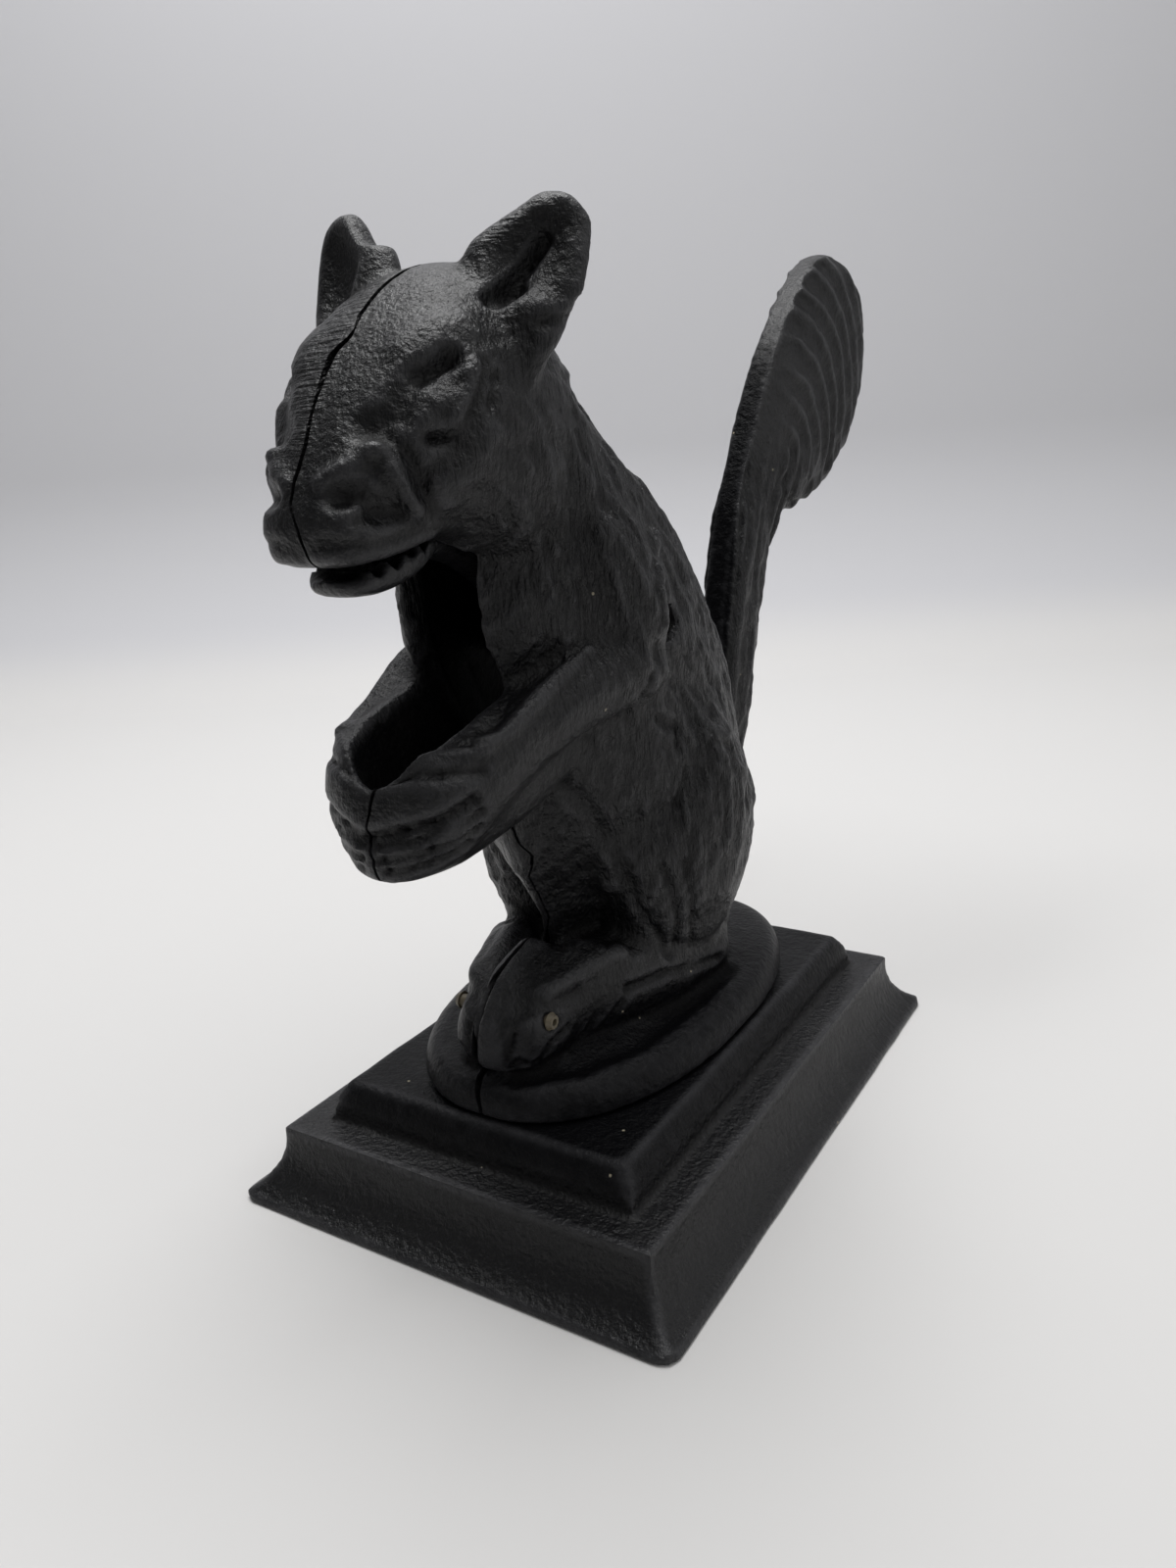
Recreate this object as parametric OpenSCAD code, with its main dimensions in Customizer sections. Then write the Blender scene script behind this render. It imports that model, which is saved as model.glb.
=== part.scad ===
// Squirrel nutcracker press: two hollow half castings on a stepped base, with the tail
// as the lever and the toothed lower jaw as its short end.
// The figure looks along -Y, its left half is on +X and the seam lies in the plane X = 0.
// The origin is on the floor, halfway between the nose and the back of the tail.

/* [Base] */
// Width of the base at the floor
base_w = 100; // [92:1:120]
// Length of the base at the floor
base_l = 142; // [136:1:170]
// Height of the lower, hollow-moulded step
step_h = 14.8; // [12:0.2:20]
// Height of the plinth above the step
plinth_h = 8; // [7:0.2:12]
// Width of the flat ledge round the plinth
ledge_w = 7.4; // [6.5:0.1:9]
// How far the lower step draws in from floor to ledge
step_draw = 7.4; // [6:0.2:8.5]
// How far the plinth draws in from ledge to deck
plinth_draw = 3; // [2:0.1:3.4]
// Wall thickness of the base casting
base_wall = 4; // [3:0.25:5]

/* [Figure] */
// Width of the oval mound under the figure
mound_w = 63; // [60:0.5:64]
// Length of the oval mound
mound_l = 105.6; // [100:0.2:106]
// Height of the mound's rounded rim
rim_h = 7.5; // [6:0.25:9]
// Width over the haunches
haunch_w = 58; // [56:0.5:61]
// Width over the cheeks
cheek_w = 40; // [38:0.5:42]
// Width of the open chest slot
chest_gap = 17; // [16:0.25:18]
// Width of the mouth between the lips
mouth_w = 12.5; // [11:0.25:14]
// Thickness of the cast walls
wall = 3.6; // [3:0.1:4]
// Gap between the halves along the seam
seam_gap = 0.7; // [0.3:0.1:1]

/* [Tail lever] */
// Thickness of the tail plume
plume_t = 15; // [12:0.5:18]
// Width of the flat band down the front of the tail
band_w = 6; // [3:0.25:7]
// Thickness of the arm inside the body
arm_t = 10; // [8:0.5:11]
// Width of the lower jaw
jaw_w = 17; // [15:0.5:18]
// Thickness of the rims beside the dish of the lower jaw
dish_wall = 1.7; // [1.5:0.1:2.5]
// Number of notches between the cracking teeth of the lower jaw
notches = 4; // [3:1:5]
// Distance from one tooth to the next
tooth_pitch = 3.2; // [2.6:0.1:3.4]
// Gap between the closed jaw and the lips
lip_gap = 0.5; // [0.4:0.05:1]

/* [Pins and screws] */
// Diameter of the pivot pin
pin_d = 5; // [4:0.25:6]
// Running clearance round the pivot pin, on the radius
pin_clear = 0.06; // [0.03:0.01:0.1]
// Diameter of the pivot pin's peened ends
pin_head_d = 7; // [6.5:0.25:8]
// Diameter of the two dowels between the halves
dowel_d = 4; // [3:0.25:4.5]
// Length of the dowels
dowel_l = 16; // [12:0.5:20]
// Diameter of the tubular rivet through the feet
rivet_d = 2.6; // [2:0.2:3]
// Diameter of the rivet's rolled ends
rivet_head_d = 3.6; // [3.2:0.2:4.4]
// Clearance round pins, rivets and screws, on the radius
fit_clear = 0.04; // [0.02:0.01:0.1]
// Diameter of the base screws
screw_d = 5; // [4:0.25:6]
// Length of the base screws under the head
screw_l = 14; // [12:0.5:15]
// Diameter of the screw heads
screw_head_d = 9; // [8:0.25:10]
// Thickness of the washers
washer_t = 1.2; // [0.8:0.1:2]
// Diameter of the washers
washer_d = 12; // [11:0.5:14]
// Clearance of the holes in base and washers, on the radius
hole_clear = 0.35; // [0.2:0.05:0.6]

/* [Hidden] */

iron = "#232326";
steel = "#8b8a86";
far = 400;                              // longer than anything in the part
deck_z = step_h + plinth_h;             // the mound stands on the base here
deck_hw = base_w / 2 - step_draw - ledge_w - plinth_draw;
deck_hl = base_l / 2 - step_draw - ledge_w - plinth_draw;
side_clear = 0.35;                      // between the lever's hub and the bosses beside it
nose_reach = 81;                        // from the base's middle to the nose
tail_reach = 160;                       // and to the back of the tail
mid_y = (tail_reach - max(nose_reach, base_l / 2)) / 2;

// Places of the pins in the plane X = 0, as [y from the base's middle, height above the deck]
pivot = [-9, 89];
head_pin = [-37, 134];
haunch_pin = [2, 40];
foot_pin = [-41.5, 17.5];
screw_x = 10;
front_screw_y = -30;
rear_screw_y = 20;

boss_wall = 3.2;                        // metal round every bore in a boss
pin_seat_depth = 10;                    // the pivot pin's seats lie this far in from the haunches
pin_seat = haunch_w / 2 - pin_seat_depth;
pin_head_t = 1.5;
rivet_seat = 10.4;                      // the foot rivet's ends bear here
rivet_head_t = 1;
rivet_wall = 0.6;                       // of the rivet's tubular ends
rivet_hollow = 3;                       // how deep they are hollow
head_clear = 0.2;                       // round the ends of pin and rivet in their seats
bore_spare = 0.5;                       // how much deeper a blind bore is than its pin
screw_boss_h = 14;
pad_t = 1.2;                            // raised pads under the deck, round the screw holes
seat_z = deck_z - base_wall - pad_t;    // the washers bear on the pads here
screw_head_t = 3;
lip_t = 1.8;                            // upright lip round the foot of the base

// ---------------------------------------------------------------- curves
function power(v, e) = sign(v) * pow(abs(v), e);
function unit(v) = v / norm(v);

// One point of the smooth curve through the rows p0 to p3, between p1 and p2
function blend(p0, p1, p2, p3, u) =
    0.5 * (2 * p1 + (p2 - p0) * u + (2 * p0 - 5 * p1 + 4 * p2 - p3) * u * u
        + (3 * p1 - p0 - 3 * p2 + p3) * u * u * u);

// Rows with smooth ones put between them, per for each gap
function smooth_rows(rows, per) =
    let (last = len(rows) - 1)
    concat([
        for (i = [0:last - 1], j = [0:per - 1])
            blend(rows[max(i - 1, 0)], rows[i], rows[i + 1], rows[min(i + 2, last)], j / per)
    ], [rows[last]]);

// A station is a section across X through two points a and b of the side view:
// [ya, za, yb, zb, half width, squareness towards a, towards b, share of a to b where it is
// widest]. This is its +X side, from a to b, with a flat band of that half width at a.
function half_ring(s, n, flat = 0) = [
    for (i = [0:n])
        let (phi = -90 + 180 * i / n,
            e = 2 / (i < n / 2 ? s[5] : s[6]),
            v = power(sin(phi), e),
            t = s[7] + v * (v < 0 ? s[7] : 1 - s[7]),
            x = s[4] * power(max(cos(phi), 0), e))
        [i == n ? 0 : i < n / 2 ? max(x, flat) : x, s[0] + (s[2] - s[0]) * t, s[1] + (s[3] - s[1]) * t]
];

// Skin over rings of equal length, with flat ends
module skin(rings) {
    n = len(rings[0]);
    m = len(rings);
    polyhedron(
        points = [for (r = rings) each r],
        faces = concat(
            [[for (j = [0:n - 1]) j]],
            [for (i = [0:m - 2], j = [0:n - 1])
                let (k = (j + 1) % n)
                each [[i * n + j, (i + 1) * n + j, (i + 1) * n + k], [i * n + j, (i + 1) * n + k, i * n + k]]],
            [[for (j = [n - 1:-1:0]) (m - 1) * n + j]]
        )
    );
}

// Solid on the +X side of the seam through side-view stations
module half_form(stations, per = 3, n = 12) {
    skin([for (s = smooth_rows(stations, per)) half_ring(s, n)]);
}

// The same stations drawn in by the wall
function drawn_in(stations, d) = [
    for (s = stations)
        let (a = [s[0], s[1]], b = [s[2], s[3]], v = unit(b - a) * d, p = a + v, q = b - v)
        [p[0], p[1], q[0], q[1], s[4] - d, s[5], s[6], s[7]]
];

// Round limb through rows [x, y, z, half width, half height]
module limb(rows, per = 3, n = 12) {
    path = smooth_rows(rows, per);
    last = len(path) - 1;
    skin([
        for (i = [0:last])
            let (p = path[i], a = path[max(i - 1, 0)], b = path[min(i + 1, last)],
                dir = unit([b[0] - a[0], b[1] - a[1], b[2] - a[2]]),
                side = unit(cross([0.05, 0.1, 1], dir)), up = cross(dir, side))
            [for (j = [0:n - 1])
                [p[0], p[1], p[2]] + side * p[3] * cos(360 * j / n) + up * p[4] * sin(360 * j / n)]
    ]);
}

// Moves a shape from the base's middle, at a height, into the part's frame
module placed(height = 0) {
    translate([0, -mid_y, height]) children();
}

// ---------------------------------------------------------------- the figure's forms
// Heights below are above the deck, y is from the base's middle and the widths follow the
// named ones.
haunch_hw = haunch_w / 2;
cheek_hw = cheek_w / 2;
mound_hw = mound_w / 2;
mound_hl = mound_l / 2;
nose_hw = 5;                            // half width of the nose's tip
thigh_hw = 14;                          // half thickness of a haunch

trunk = [
    [-35, 2, 30, 2, haunch_hw - 7, 1.8, 2.2, 0.55],
    [-27, 14, 31, 17, haunch_hw - 8, 1.3, 2.2, 0.66],
    [-26, 30, 32, 29, haunch_hw - 7.5, 1.15, 2.2, 0.7],
    [-33, 42.5, 33.5, 43, haunch_hw - 4.5, 1.4, 2.2, 0.66],
    [-36, 55, 34.5, 57, haunch_hw - 3, 1.9, 2.2, 0.58],
    [-44, 72, 35, 72, haunch_hw - 5, 2, 2.2, 0.55],
    [-50, 84, 31.5, 86, haunch_hw - 6.5, 2.1, 2.2, 0.5],
    [-52.5, 93, 24.5, 96, haunch_hw - 7.3, 2.1, 2.2, 0.5],
    [-52.5, 101, 16.5, 105, haunch_hw - 8, 2.1, 2.2, 0.5],
    [-52.5, 108, 6, 114, haunch_hw - 8.7, 2.1, 2.2, 0.5],
    [-53, 114, -5, 120, haunch_hw - 9.3, 2.2, 2.2, 0.5],
    [-55, 121, -14.5, 128, haunch_hw - 10.5, 2.2, 2.2, 0.5],
    [-54, 129, -23, 137, haunch_hw - 12.5, 2.1, 2.1, 0.5]
];

head = [
    [-nose_reach, 112.5, 1.7 - nose_reach, 108, nose_hw, 2.1, 2.1, 0.5],
    [-80.2, 115.5, -77.7, 107.2, cheek_hw - 11.3, 2.3, 2.8, 0.5],
    [-77.5, 121, -75, 107.3, cheek_hw - 9.2, 2.4, 3.6, 0.5],
    [-73, 128.5, -70, 107.8, cheek_hw - 8, 2.4, 4.2, 0.48],
    [-67, 136.5, -63.5, 108.8, cheek_hw - 3.4, 2.6, 3.2, 0.38],
    [-60, 143.8, -56, 107.5, cheek_hw - 0.5, 2.5, 2.9, 0.42],
    [-51, 150, -48.5, 104.5, cheek_hw + 0.5, 2.3, 3, 0.5],
    [-41, 151.5, -41.5, 101.5, cheek_hw, 2.2, 2.8, 0.52],
    [-29, 144, -33, 100, cheek_hw - 2, 2.2, 2.6, 0.5],
    [-16, 130, -24, 106, cheek_hw - 7, 2.2, 2.2, 0.5]
];

mound = [
    for (r = [[0, 0], [0, 0.45], [0.8, 0.75], [2.8, 0.97], [6, 1.05], [12, 1.12]])
        [r[0] - mound_hl, r[1] * rim_h, mound_hl - r[0], r[1] * rim_h, mound_hw - r[0], 2.3, 2.3, 0.5]
];

foot = [
    [17, 14, 11, 6, 8],
    [14.5, -4, 14.5, 8, 11],
    [10, -20, 16.5, 8, 11.5],
    [6.4, -31, 16.5, 7, 11],
    [5.4, -39.5, 14.8, 6.6, 9.2],
    [5.2, -45, 12, 5, 5.5],
    [5.2, -48, 10.5, 2, 2]
];

thigh = [
    [12, 27, 58, 5, 12],
    [haunch_hw - thigh_hw - 1, 16, 49, thigh_hw - 1, 28],
    [haunch_hw - thigh_hw, 3, 43, thigh_hw, 32],
    [haunch_hw - thigh_hw - 1, -8, 43, thigh_hw - 2.5, 25],
    [12, -17, 45, 7.5, 14.5],
    [10.5, -23, 44, 4, 8]
];

forearm = [
    [19.5, -10, 81, 3, 3],
    [19.5, -15, 81.5, 5.5, 6],
    [18.5, -24, 82.5, 6.5, 7.5],
    [16.5, -36, 80.5, 6.3, 7.5],
    [13, -48, 76, 6.2, 7.5],
    [11, -58, 71.5, 6.6, 8.5],
    [8, -66, 67, 5.6, 9.5],
    [2.5, -70, 64.5, 4, 9.5],
    [-3, -70.5, 64, 4, 9]
];

upper_arm = [
    [8, -30, 112, 6, 8],
    [12.5, -27, 106, 9, 12],
    [15, -23.5, 97, 9, 13],
    [17.3, -19, 86, 7.5, 11],
    [18.5, -16, 79, 5, 5]
];

// The cupped paws and the floor of the cup between them
cup = [
    [-71, 66, -72.5, 58, 4, 2.1, 2.1, 0.5],
    [-68, 73, -69, 55, 9.7, 2.4, 2.3, 0.5],
    [-62, 78, -62, 54.5, 13.5, 2.6, 2.5, 0.48],
    [-52, 81, -52, 56, 15, 2.6, 2.5, 0.48],
    [-42, 83, -42, 58, 15.5, 2.5, 2.5, 0.5],
    [-30, 86, -30, 62, 16, 2.4, 2.4, 0.5]
];
cup_hollow = [
    [-60, 59.5, -44, 60, 4, 2.2, 2.2, 0.5],
    [-66, 62, -38, 62, 7.5, 2.3, 2.3, 0.5],
    [-68.5, 66, -32, 66, 9, 2.3, 2.3, 0.5],
    [-71, 71, -28, 71, 9.5, 2.3, 2.3, 0.5],
    [-76, 77, -26, 78, 10, 2.3, 2.3, 0.5],
    [-84, 84, -26, 86, 9.5, 2.6, 2.6, 0.5],
    [-90, 92, -26, 92, chest_gap / 2, 6, 6, 0.5],
    [-90, 104, -26, 112, chest_gap / 2, 6, 6, 0.5]
];

// Ear: a cupped leaf standing up and out of the crown, opening outward and forward, with its
// tip at the outer side. Rings are [height, half width, half thickness, set forward, set out].
ear_root = [15.5, -45.5, 144];
ear_up = unit([0.31, 0.38, 0.87]);
ear_wide = unit([0.8, 0, -0.6]);
ear_face = cross(ear_wide, ear_up);
ear_skin = [
    [-8, 9.5, 5, -1, 0], [1, 11, 4.6, 0, 0], [8, 10, 4, 0, 0.7], [13.5, 7.3, 3.4, 0, 1.8],
    [17, 4.4, 2.8, 0, 2.7], [18.8, 1.7, 1.5, 0, 3.3]
];
ear_hollow = [
    [-1, 2, 2, 5, 0], [3, 5.5, 3.6, 5, 0.3], [7, 6.8, 4, 4.8, 0.8], [11.5, 5.2, 3.6, 4.8, 1.5],
    [15.8, 2, 2, 4.8, 2.5]
];

module ear_form(rows, n) {
    skin([
        for (r = smooth_rows(rows, 2))
            [for (j = [0:n - 1])
                ear_root + ear_up * r[0] + ear_face * (r[3] + r[2] * cos(360 * j / n))
                    + ear_wide * (r[4] + r[1] * sin(360 * j / n))]
    ]);
}

module ear() {
    difference() {
        ear_form(ear_skin, 14);
        ear_form(ear_hollow, 12);
    }
}

module outer_form() {
    half_form(trunk, 2, 14);
    half_form(head, 3, 14);
    half_form(mound, 1, 22);
    half_form(cup, 2, 12);
    limb(foot, 2);
    limb(thigh, 3, 16);
    limb(forearm, 2);
    limb(upper_arm, 2);
    ear();
}

// Cylinder across the body at a place in the side view, from x0 to x1
module crossing(place, r, x0 = -1, x1 = far, n = 48) {
    translate([x0, place[0], place[1]]) rotate([0, 90, 0]) cylinder(r = r, h = x1 - x0, $fn = n);
}

// Bosses that meet their twins of the other half in the seam plane
module meeting_bosses() {
    for (place = [head_pin, haunch_pin]) crossing(place, dowel_d / 2 + boss_wall, n = 24);
    crossing(foot_pin, rivet_d / 2 + boss_wall, n = 24);
}

module inner_form() {
    difference() {
        translate([-0.5, 0, 0]) union() {
            half_form(drawn_in(trunk, wall + 0.5), 1, 8);
            translate([0, 0, -wall]) half_form(drawn_in(mound, wall + 1), 1, 16);
            half_form(drawn_in([for (i = [4:8]) head[i]], wall + 0.5), 1, 10);
        }
        meeting_bosses();
        crossing(pivot, pin_d / 2 + boss_wall + 1, arm_t / 2 + side_clear, n = 24);
        for (y = [front_screw_y, rear_screw_y])
            translate([screw_x, y, -1])
                cylinder(r = screw_d / 2 + boss_wall, h = screw_boss_h + 1, $fn = 24);
    }
}

// Mouth between the lips and the way down the throat
mouth_hw = mouth_w / 2;
throat = [
    [-77, 100, -40, 96, mouth_hw, 3, 3, 0.5],
    [-76.5, 108, -34, 106, mouth_hw, 3, 3, 0.5],
    [-75, 112.5, -32, 116, mouth_hw, 3, 3, 0.5],
    [-70, 118.5, -34, 127, mouth_hw - 0.6, 2.5, 2.5, 0.5]
];

jaw_hw = jaw_w / 2;
first_notch = [-71.6, 104.6];           // foot of the first notch, [y, height]
notch_rise = 0.95;                      // each notch lies this much above the one before
notch_r = 3;                            // of the three-sided cutter
dish_mid = [-66.8, 110.4];              // middle of the dish at the rims, [y, height]
dish_hl = 8.8;                          // half length of the dish
dish_depth = 5.7;
jaw = [
    [-76.3, 105, -76, 104.4, jaw_hw - 7, 2.1, 2.1, 0.5],
    [-75.5, 105.2, -75.3, 103.1, jaw_hw - 4.8, 2.8, 2.3, 0.45],
    [-73.8, 105.5, -73.6, 102.4, jaw_hw - 2.6, 4, 2.6, 0.4],
    [-72.2, 107.3, -71.9, 102.3, jaw_hw - 1.5, 4.5, 2.6, 0.4],
    [-70, 108, -69.6, 102.2, jaw_hw - 0.8, 4, 2.6, 0.38],
    [-66, 109.3, -65.5, 102.9, jaw_hw, 3.5, 2.6, 0.35],
    [-61.5, 110.8, -61, 104.4, jaw_hw - 0.3, 3, 2.6, 0.35],
    [-58, 111.2, -57.5, 106.5, jaw_hw - 1.5, 2.6, 2.4, 0.4],
    [-56.3, 110.8, -56, 108, jaw_hw - 4, 2.2, 2.2, 0.45]
];

// Slot in the back for the root of the tail: [from, to] along y and in height
slot_hw = arm_t / 2 + 2;
slot_y = [25, 55];
slot_z = [33, 83];

module half_casting() {
    resize([mound_hw, 0, 0]) difference() {
        outer_form();
        inner_form();
        translate([-0.5, 0, 0]) half_form(cup_hollow, 1, 12);
        translate([-0.5, 0, 0]) half_form(throat, 1, 8);
        translate([-0.5, 0.4, 0]) half_form(drawn_in(jaw, -lip_gap - 0.3), 2, 10);
        translate([-far / 2, slot_y[0], slot_z[0]])
            cube([far / 2 + slot_hw, slot_y[1] - slot_y[0], slot_z[1] - slot_z[0]]);
        difference() {
            translate([-far, -far / 2, -1]) cube([far + seam_gap / 2, far, far]);
            meeting_bosses();
        }
        translate([-far, -far / 2, -far / 2]) cube([far, far, far]);
        translate([-far / 2, -far / 2, -far]) cube([far, far, far]);
    }
}

module left_half() {
    screw_bore = screw_l - base_wall - pad_t - washer_t + bore_spare;
    color(iron) placed(deck_z) difference() {
        half_casting();
        crossing(pivot, pin_d / 2 + fit_clear);
        crossing(pivot, pin_head_d / 2 + head_clear, pin_seat);
        for (place = [head_pin, haunch_pin])
            crossing(place, dowel_d / 2 + fit_clear, x1 = dowel_l / 2 + bore_spare);
        crossing(foot_pin, rivet_d / 2 + fit_clear);
        crossing(foot_pin, rivet_head_d / 2 + head_clear, rivet_seat);
        for (y = [front_screw_y, rear_screw_y])
            translate([screw_x, y, -1]) cylinder(r = screw_d / 2 + fit_clear, h = screw_bore + 1, $fn = 48);
    }
}

module right_half() {
    mirror([1, 0, 0]) left_half();
}

// ---------------------------------------------------------------- tail lever
arm_hw = arm_t / 2;
plume_hw = plume_t / 2;
lever = [
    [-62, 110, -60, 106, arm_hw - 1, 2.4, 2.4, 0.5],
    [-54, 113, -54, 106, arm_hw - 1, 2.4, 2.4, 0.5],
    [-45, 113.5, -47, 104.5, arm_hw - 1, 2.4, 2.4, 0.5],
    [-33, 110, -38, 99.5, arm_hw - 0.5, 2.4, 2.4, 0.5],
    [-21, 105, -29, 92, arm_hw, 2.4, 2.4, 0.5],
    [-5, 98, -18, 82, arm_hw, 2.4, 2.4, 0.5],
    [5, 89, -9, 77, arm_hw, 2.4, 2.4, 0.5],
    [13, 79.5, 0, 68.5, arm_hw, 2.4, 2.4, 0.5],
    [22, 67.5, 10.5, 58, arm_hw, 2.4, 2.4, 0.5],
    [32, 57.5, 22, 45.5, arm_hw, 2.4, 2.4, 0.5],
    [39, 53.5, 35, 37, arm_hw + 0.5, 2.3, 2.3, 0.5],
    [44.5, 53.5, 47, 33.5, arm_hw + 1, 2.3, 2.3, 0.5],
    [48, 55.5, 59, 37, arm_hw + 1, 2.2, 2.2, 0.5],
    [50, 59.5, 66.5, 46, arm_hw + 1, 2.2, 2.2, 0.5],
    [52, 66, 71.5, 58, arm_hw + 1, 2.2, 2.2, 0.5],
    [55, 76, 77, 73, arm_hw + 1, 2.2, 2.2, 0.5],
    [59, 88.5, 83, 88, arm_hw + 1, 2.2, 2.2, 0.5],
    [62, 97, 88, 96.5, arm_hw + 1, 2.2, 2.2, 0.5],
    [65, 104.5, 95, 101.5, arm_hw + 1.3, 2.2, 2.2, 0.5],
    [69.5, 112.5, 112, 104, plume_hw - 0.7, 2.2, 2.2, 0.5],
    [75, 121, 131, 110, plume_hw, 2.6, 2.2, 0.5],
    [81, 130, 146, 119, plume_hw, 2.6, 2.2, 0.5],
    [88, 139, 156, 131, plume_hw, 2.6, 2.2, 0.5],
    [96.5, 148, 160, 143, plume_hw - 0.5, 2.2, 2.2, 0.5],
    [105.5, 156, 158.5, 154, plume_hw - 1, 2.2, 2.2, 0.5],
    [115, 163, 152, 161.5, plume_hw - 2, 2.2, 2.2, 0.5],
    [124, 167, 142, 166.3, plume_hw - 4, 2.1, 2.1, 0.5],
    [130, 168, 134, 167.8, plume_hw - 6, 2, 2, 0.5]
];

function full_ring(s, n, flat = 0) =
    let (h = half_ring(s, n, flat))
    concat(h, [for (i = [n - 1:-1:flat > 0 ? 0 : 1]) [-h[i][0], h[i][1], h[i][2]]]);

module full_form(stations, per, n, flat = 0) {
    skin([for (s = smooth_rows(stations, per)) full_ring(s, n, flat)]);
}

// The dish lets the nut lie deep and the notches across its rims leave pointed teeth
module jaw_form() {
    difference() {
        full_form(jaw, 2, 8);
        translate([0, dish_mid[0], dish_mid[1]]) scale([jaw_hw - dish_wall, dish_hl, dish_depth])
            sphere(r = 1, $fn = 20);
        for (i = [0:notches - 1])
            translate([0, first_notch[0] + tooth_pitch * i, first_notch[1] + notch_rise * i])
                rotate([0, 90, 0]) translate([-notch_r, 0, 0])
                    cylinder(r = notch_r, h = 2 * jaw_w, center = true, $fn = 3);
    }
}

module lever_casting() {
    resize([jaw_w, 0, 0]) union() {
        full_form(lever, 2, 8, band_w / 2);
        jaw_form();
        crossing(pivot, pin_d / 2 + 5, -arm_hw, arm_hw, 32);
    }
}

module tail_lever() {
    color(iron) placed(deck_z) difference() {
        lever_casting();
        crossing(pivot, pin_d / 2 + pin_clear, -far);
    }
}

// ---------------------------------------------------------------- pins between the halves
module across(place) {
    placed(deck_z) translate([0, place[0], place[1]]) rotate([0, 90, 0]) children();
}

// The pin's ends are peened over into the round seats in the halves
module pivot_pin() {
    color(steel) across(pivot) {
        cylinder(r = pin_d / 2, h = 2 * pin_seat, center = true, $fn = 48);
        for (side = [0, 1]) mirror([0, 0, side]) translate([0, 0, pin_seat]) {
            cylinder(r = pin_head_d / 2, h = pin_head_t / 2, $fn = 48);
            translate([0, 0, pin_head_t / 2])
                cylinder(r1 = pin_head_d / 2, r2 = pin_d / 2, h = pin_head_t / 2, $fn = 48);
        }
    }
}

module dowel(place) {
    chamfer = 0.6;
    color(steel) across(place) {
        cylinder(r = dowel_d / 2, h = dowel_l - 2 * chamfer, center = true, $fn = 48);
        for (side = [0, 1]) mirror([0, 0, side]) translate([0, 0, dowel_l / 2 - chamfer])
            cylinder(r1 = dowel_d / 2, r2 = dowel_d / 2 - chamfer, h = chamfer, $fn = 48);
    }
}

module head_dowel() {
    dowel(head_pin);
}

module haunch_dowel() {
    dowel(haunch_pin);
}

// A tubular rivet: its open ends show as rings on the feet
module foot_rivet() {
    color(steel) across(foot_pin) difference() {
        union() {
            cylinder(r = rivet_d / 2, h = 2 * rivet_seat, center = true, $fn = 48);
            for (side = [0, 1]) mirror([0, 0, side]) translate([0, 0, rivet_seat])
                cylinder(r1 = rivet_head_d / 2, r2 = rivet_d / 2, h = rivet_head_t, $fn = 48);
        }
        for (side = [0, 1]) mirror([0, 0, side]) translate([0, 0, rivet_seat + rivet_head_t - rivet_hollow])
            cylinder(r = rivet_d / 2 - rivet_wall, h = rivet_hollow + 1, $fn = 48);
    }
}

// ---------------------------------------------------------------- base
// Half outline of the base's section, with a hollow moulding below and a round one above.
// half_floor is half the width of the section at the floor.
module moulding(half_floor) {
    ledge_x = half_floor - step_draw;
    plinth_x = ledge_x - ledge_w;
    cove_x = half_floor - 1;
    cove_top = step_h - 1.5;
    cove_rise = cove_top - lip_t;
    cove_run = cove_x - ledge_x;
    cove_r = (cove_run * cove_run + cove_rise * cove_rise) / (2 * cove_run);
    bead_rise = plinth_h - 1;
    bead_r = (plinth_draw * plinth_draw + bead_rise * bead_rise) / (2 * plinth_draw);
    difference() {
        union() {
            square([half_floor, lip_t]);
            square([cove_x, cove_top]);
            square([ledge_x, step_h]);
        }
        translate([ledge_x + cove_r, cove_top]) circle(r = cove_r, $fn = 96);
        translate([ledge_x, step_h]) square(far);
    }
    intersection() {
        translate([0, step_h]) square([plinth_x, plinth_h]);
        union() {
            square([plinth_x, step_h + 1]);
            translate([plinth_x - bead_r, step_h + 1]) circle(r = bead_r, $fn = 96);
            square([plinth_x - bead_r, deck_z]);
        }
    }
}

module moulded_bar(half_floor) {
    rotate([90, 0, 0]) translate([0, 0, -far / 2]) linear_extrude(far) {
        moulding(half_floor);
        mirror([1, 0]) moulding(half_floor);
    }
}

module pocket(half_x, half_y, z0, z1) {
    translate([-half_x, -half_y, z0]) cube([2 * half_x, 2 * half_y, z1 - z0]);
}

module at_screws() {
    for (x = [-screw_x, screw_x], y = [front_screw_y, rear_screw_y]) translate([x, y, 0]) children();
}

module base() {
    color(iron) placed() difference() {
        intersection() {
            moulded_bar(base_w / 2);
            rotate([0, 0, 90]) moulded_bar(base_l / 2);
        }
        difference() {
            union() {
                pocket(base_w / 2 - step_draw - base_wall, base_l / 2 - step_draw - base_wall,
                    -1, step_h - base_wall);
                pocket(deck_hw - base_wall, deck_hl - base_wall, 1, deck_z - base_wall);
            }
            at_screws() translate([0, 0, seat_z]) cylinder(r = washer_d / 2 + 1, h = base_wall, $fn = 48);
        }
        at_screws() cylinder(r = screw_d / 2 + hole_clear, h = far, $fn = 48);
    }
}

// ---------------------------------------------------------------- screws and washers
module screw() {
    slot_w = 1.2;
    head_z = seat_z - washer_t - screw_head_t;
    color(steel) translate([0, 0, head_z]) difference() {
        union() {
            cylinder(r = screw_head_d / 2, h = screw_head_t, $fn = 48);
            cylinder(r = screw_d / 2, h = screw_head_t + screw_l, $fn = 48);
        }
        translate([-screw_head_d, -slot_w / 2, -1]) cube([2 * screw_head_d, slot_w, 1 + screw_head_t / 2]);
    }
}

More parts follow.
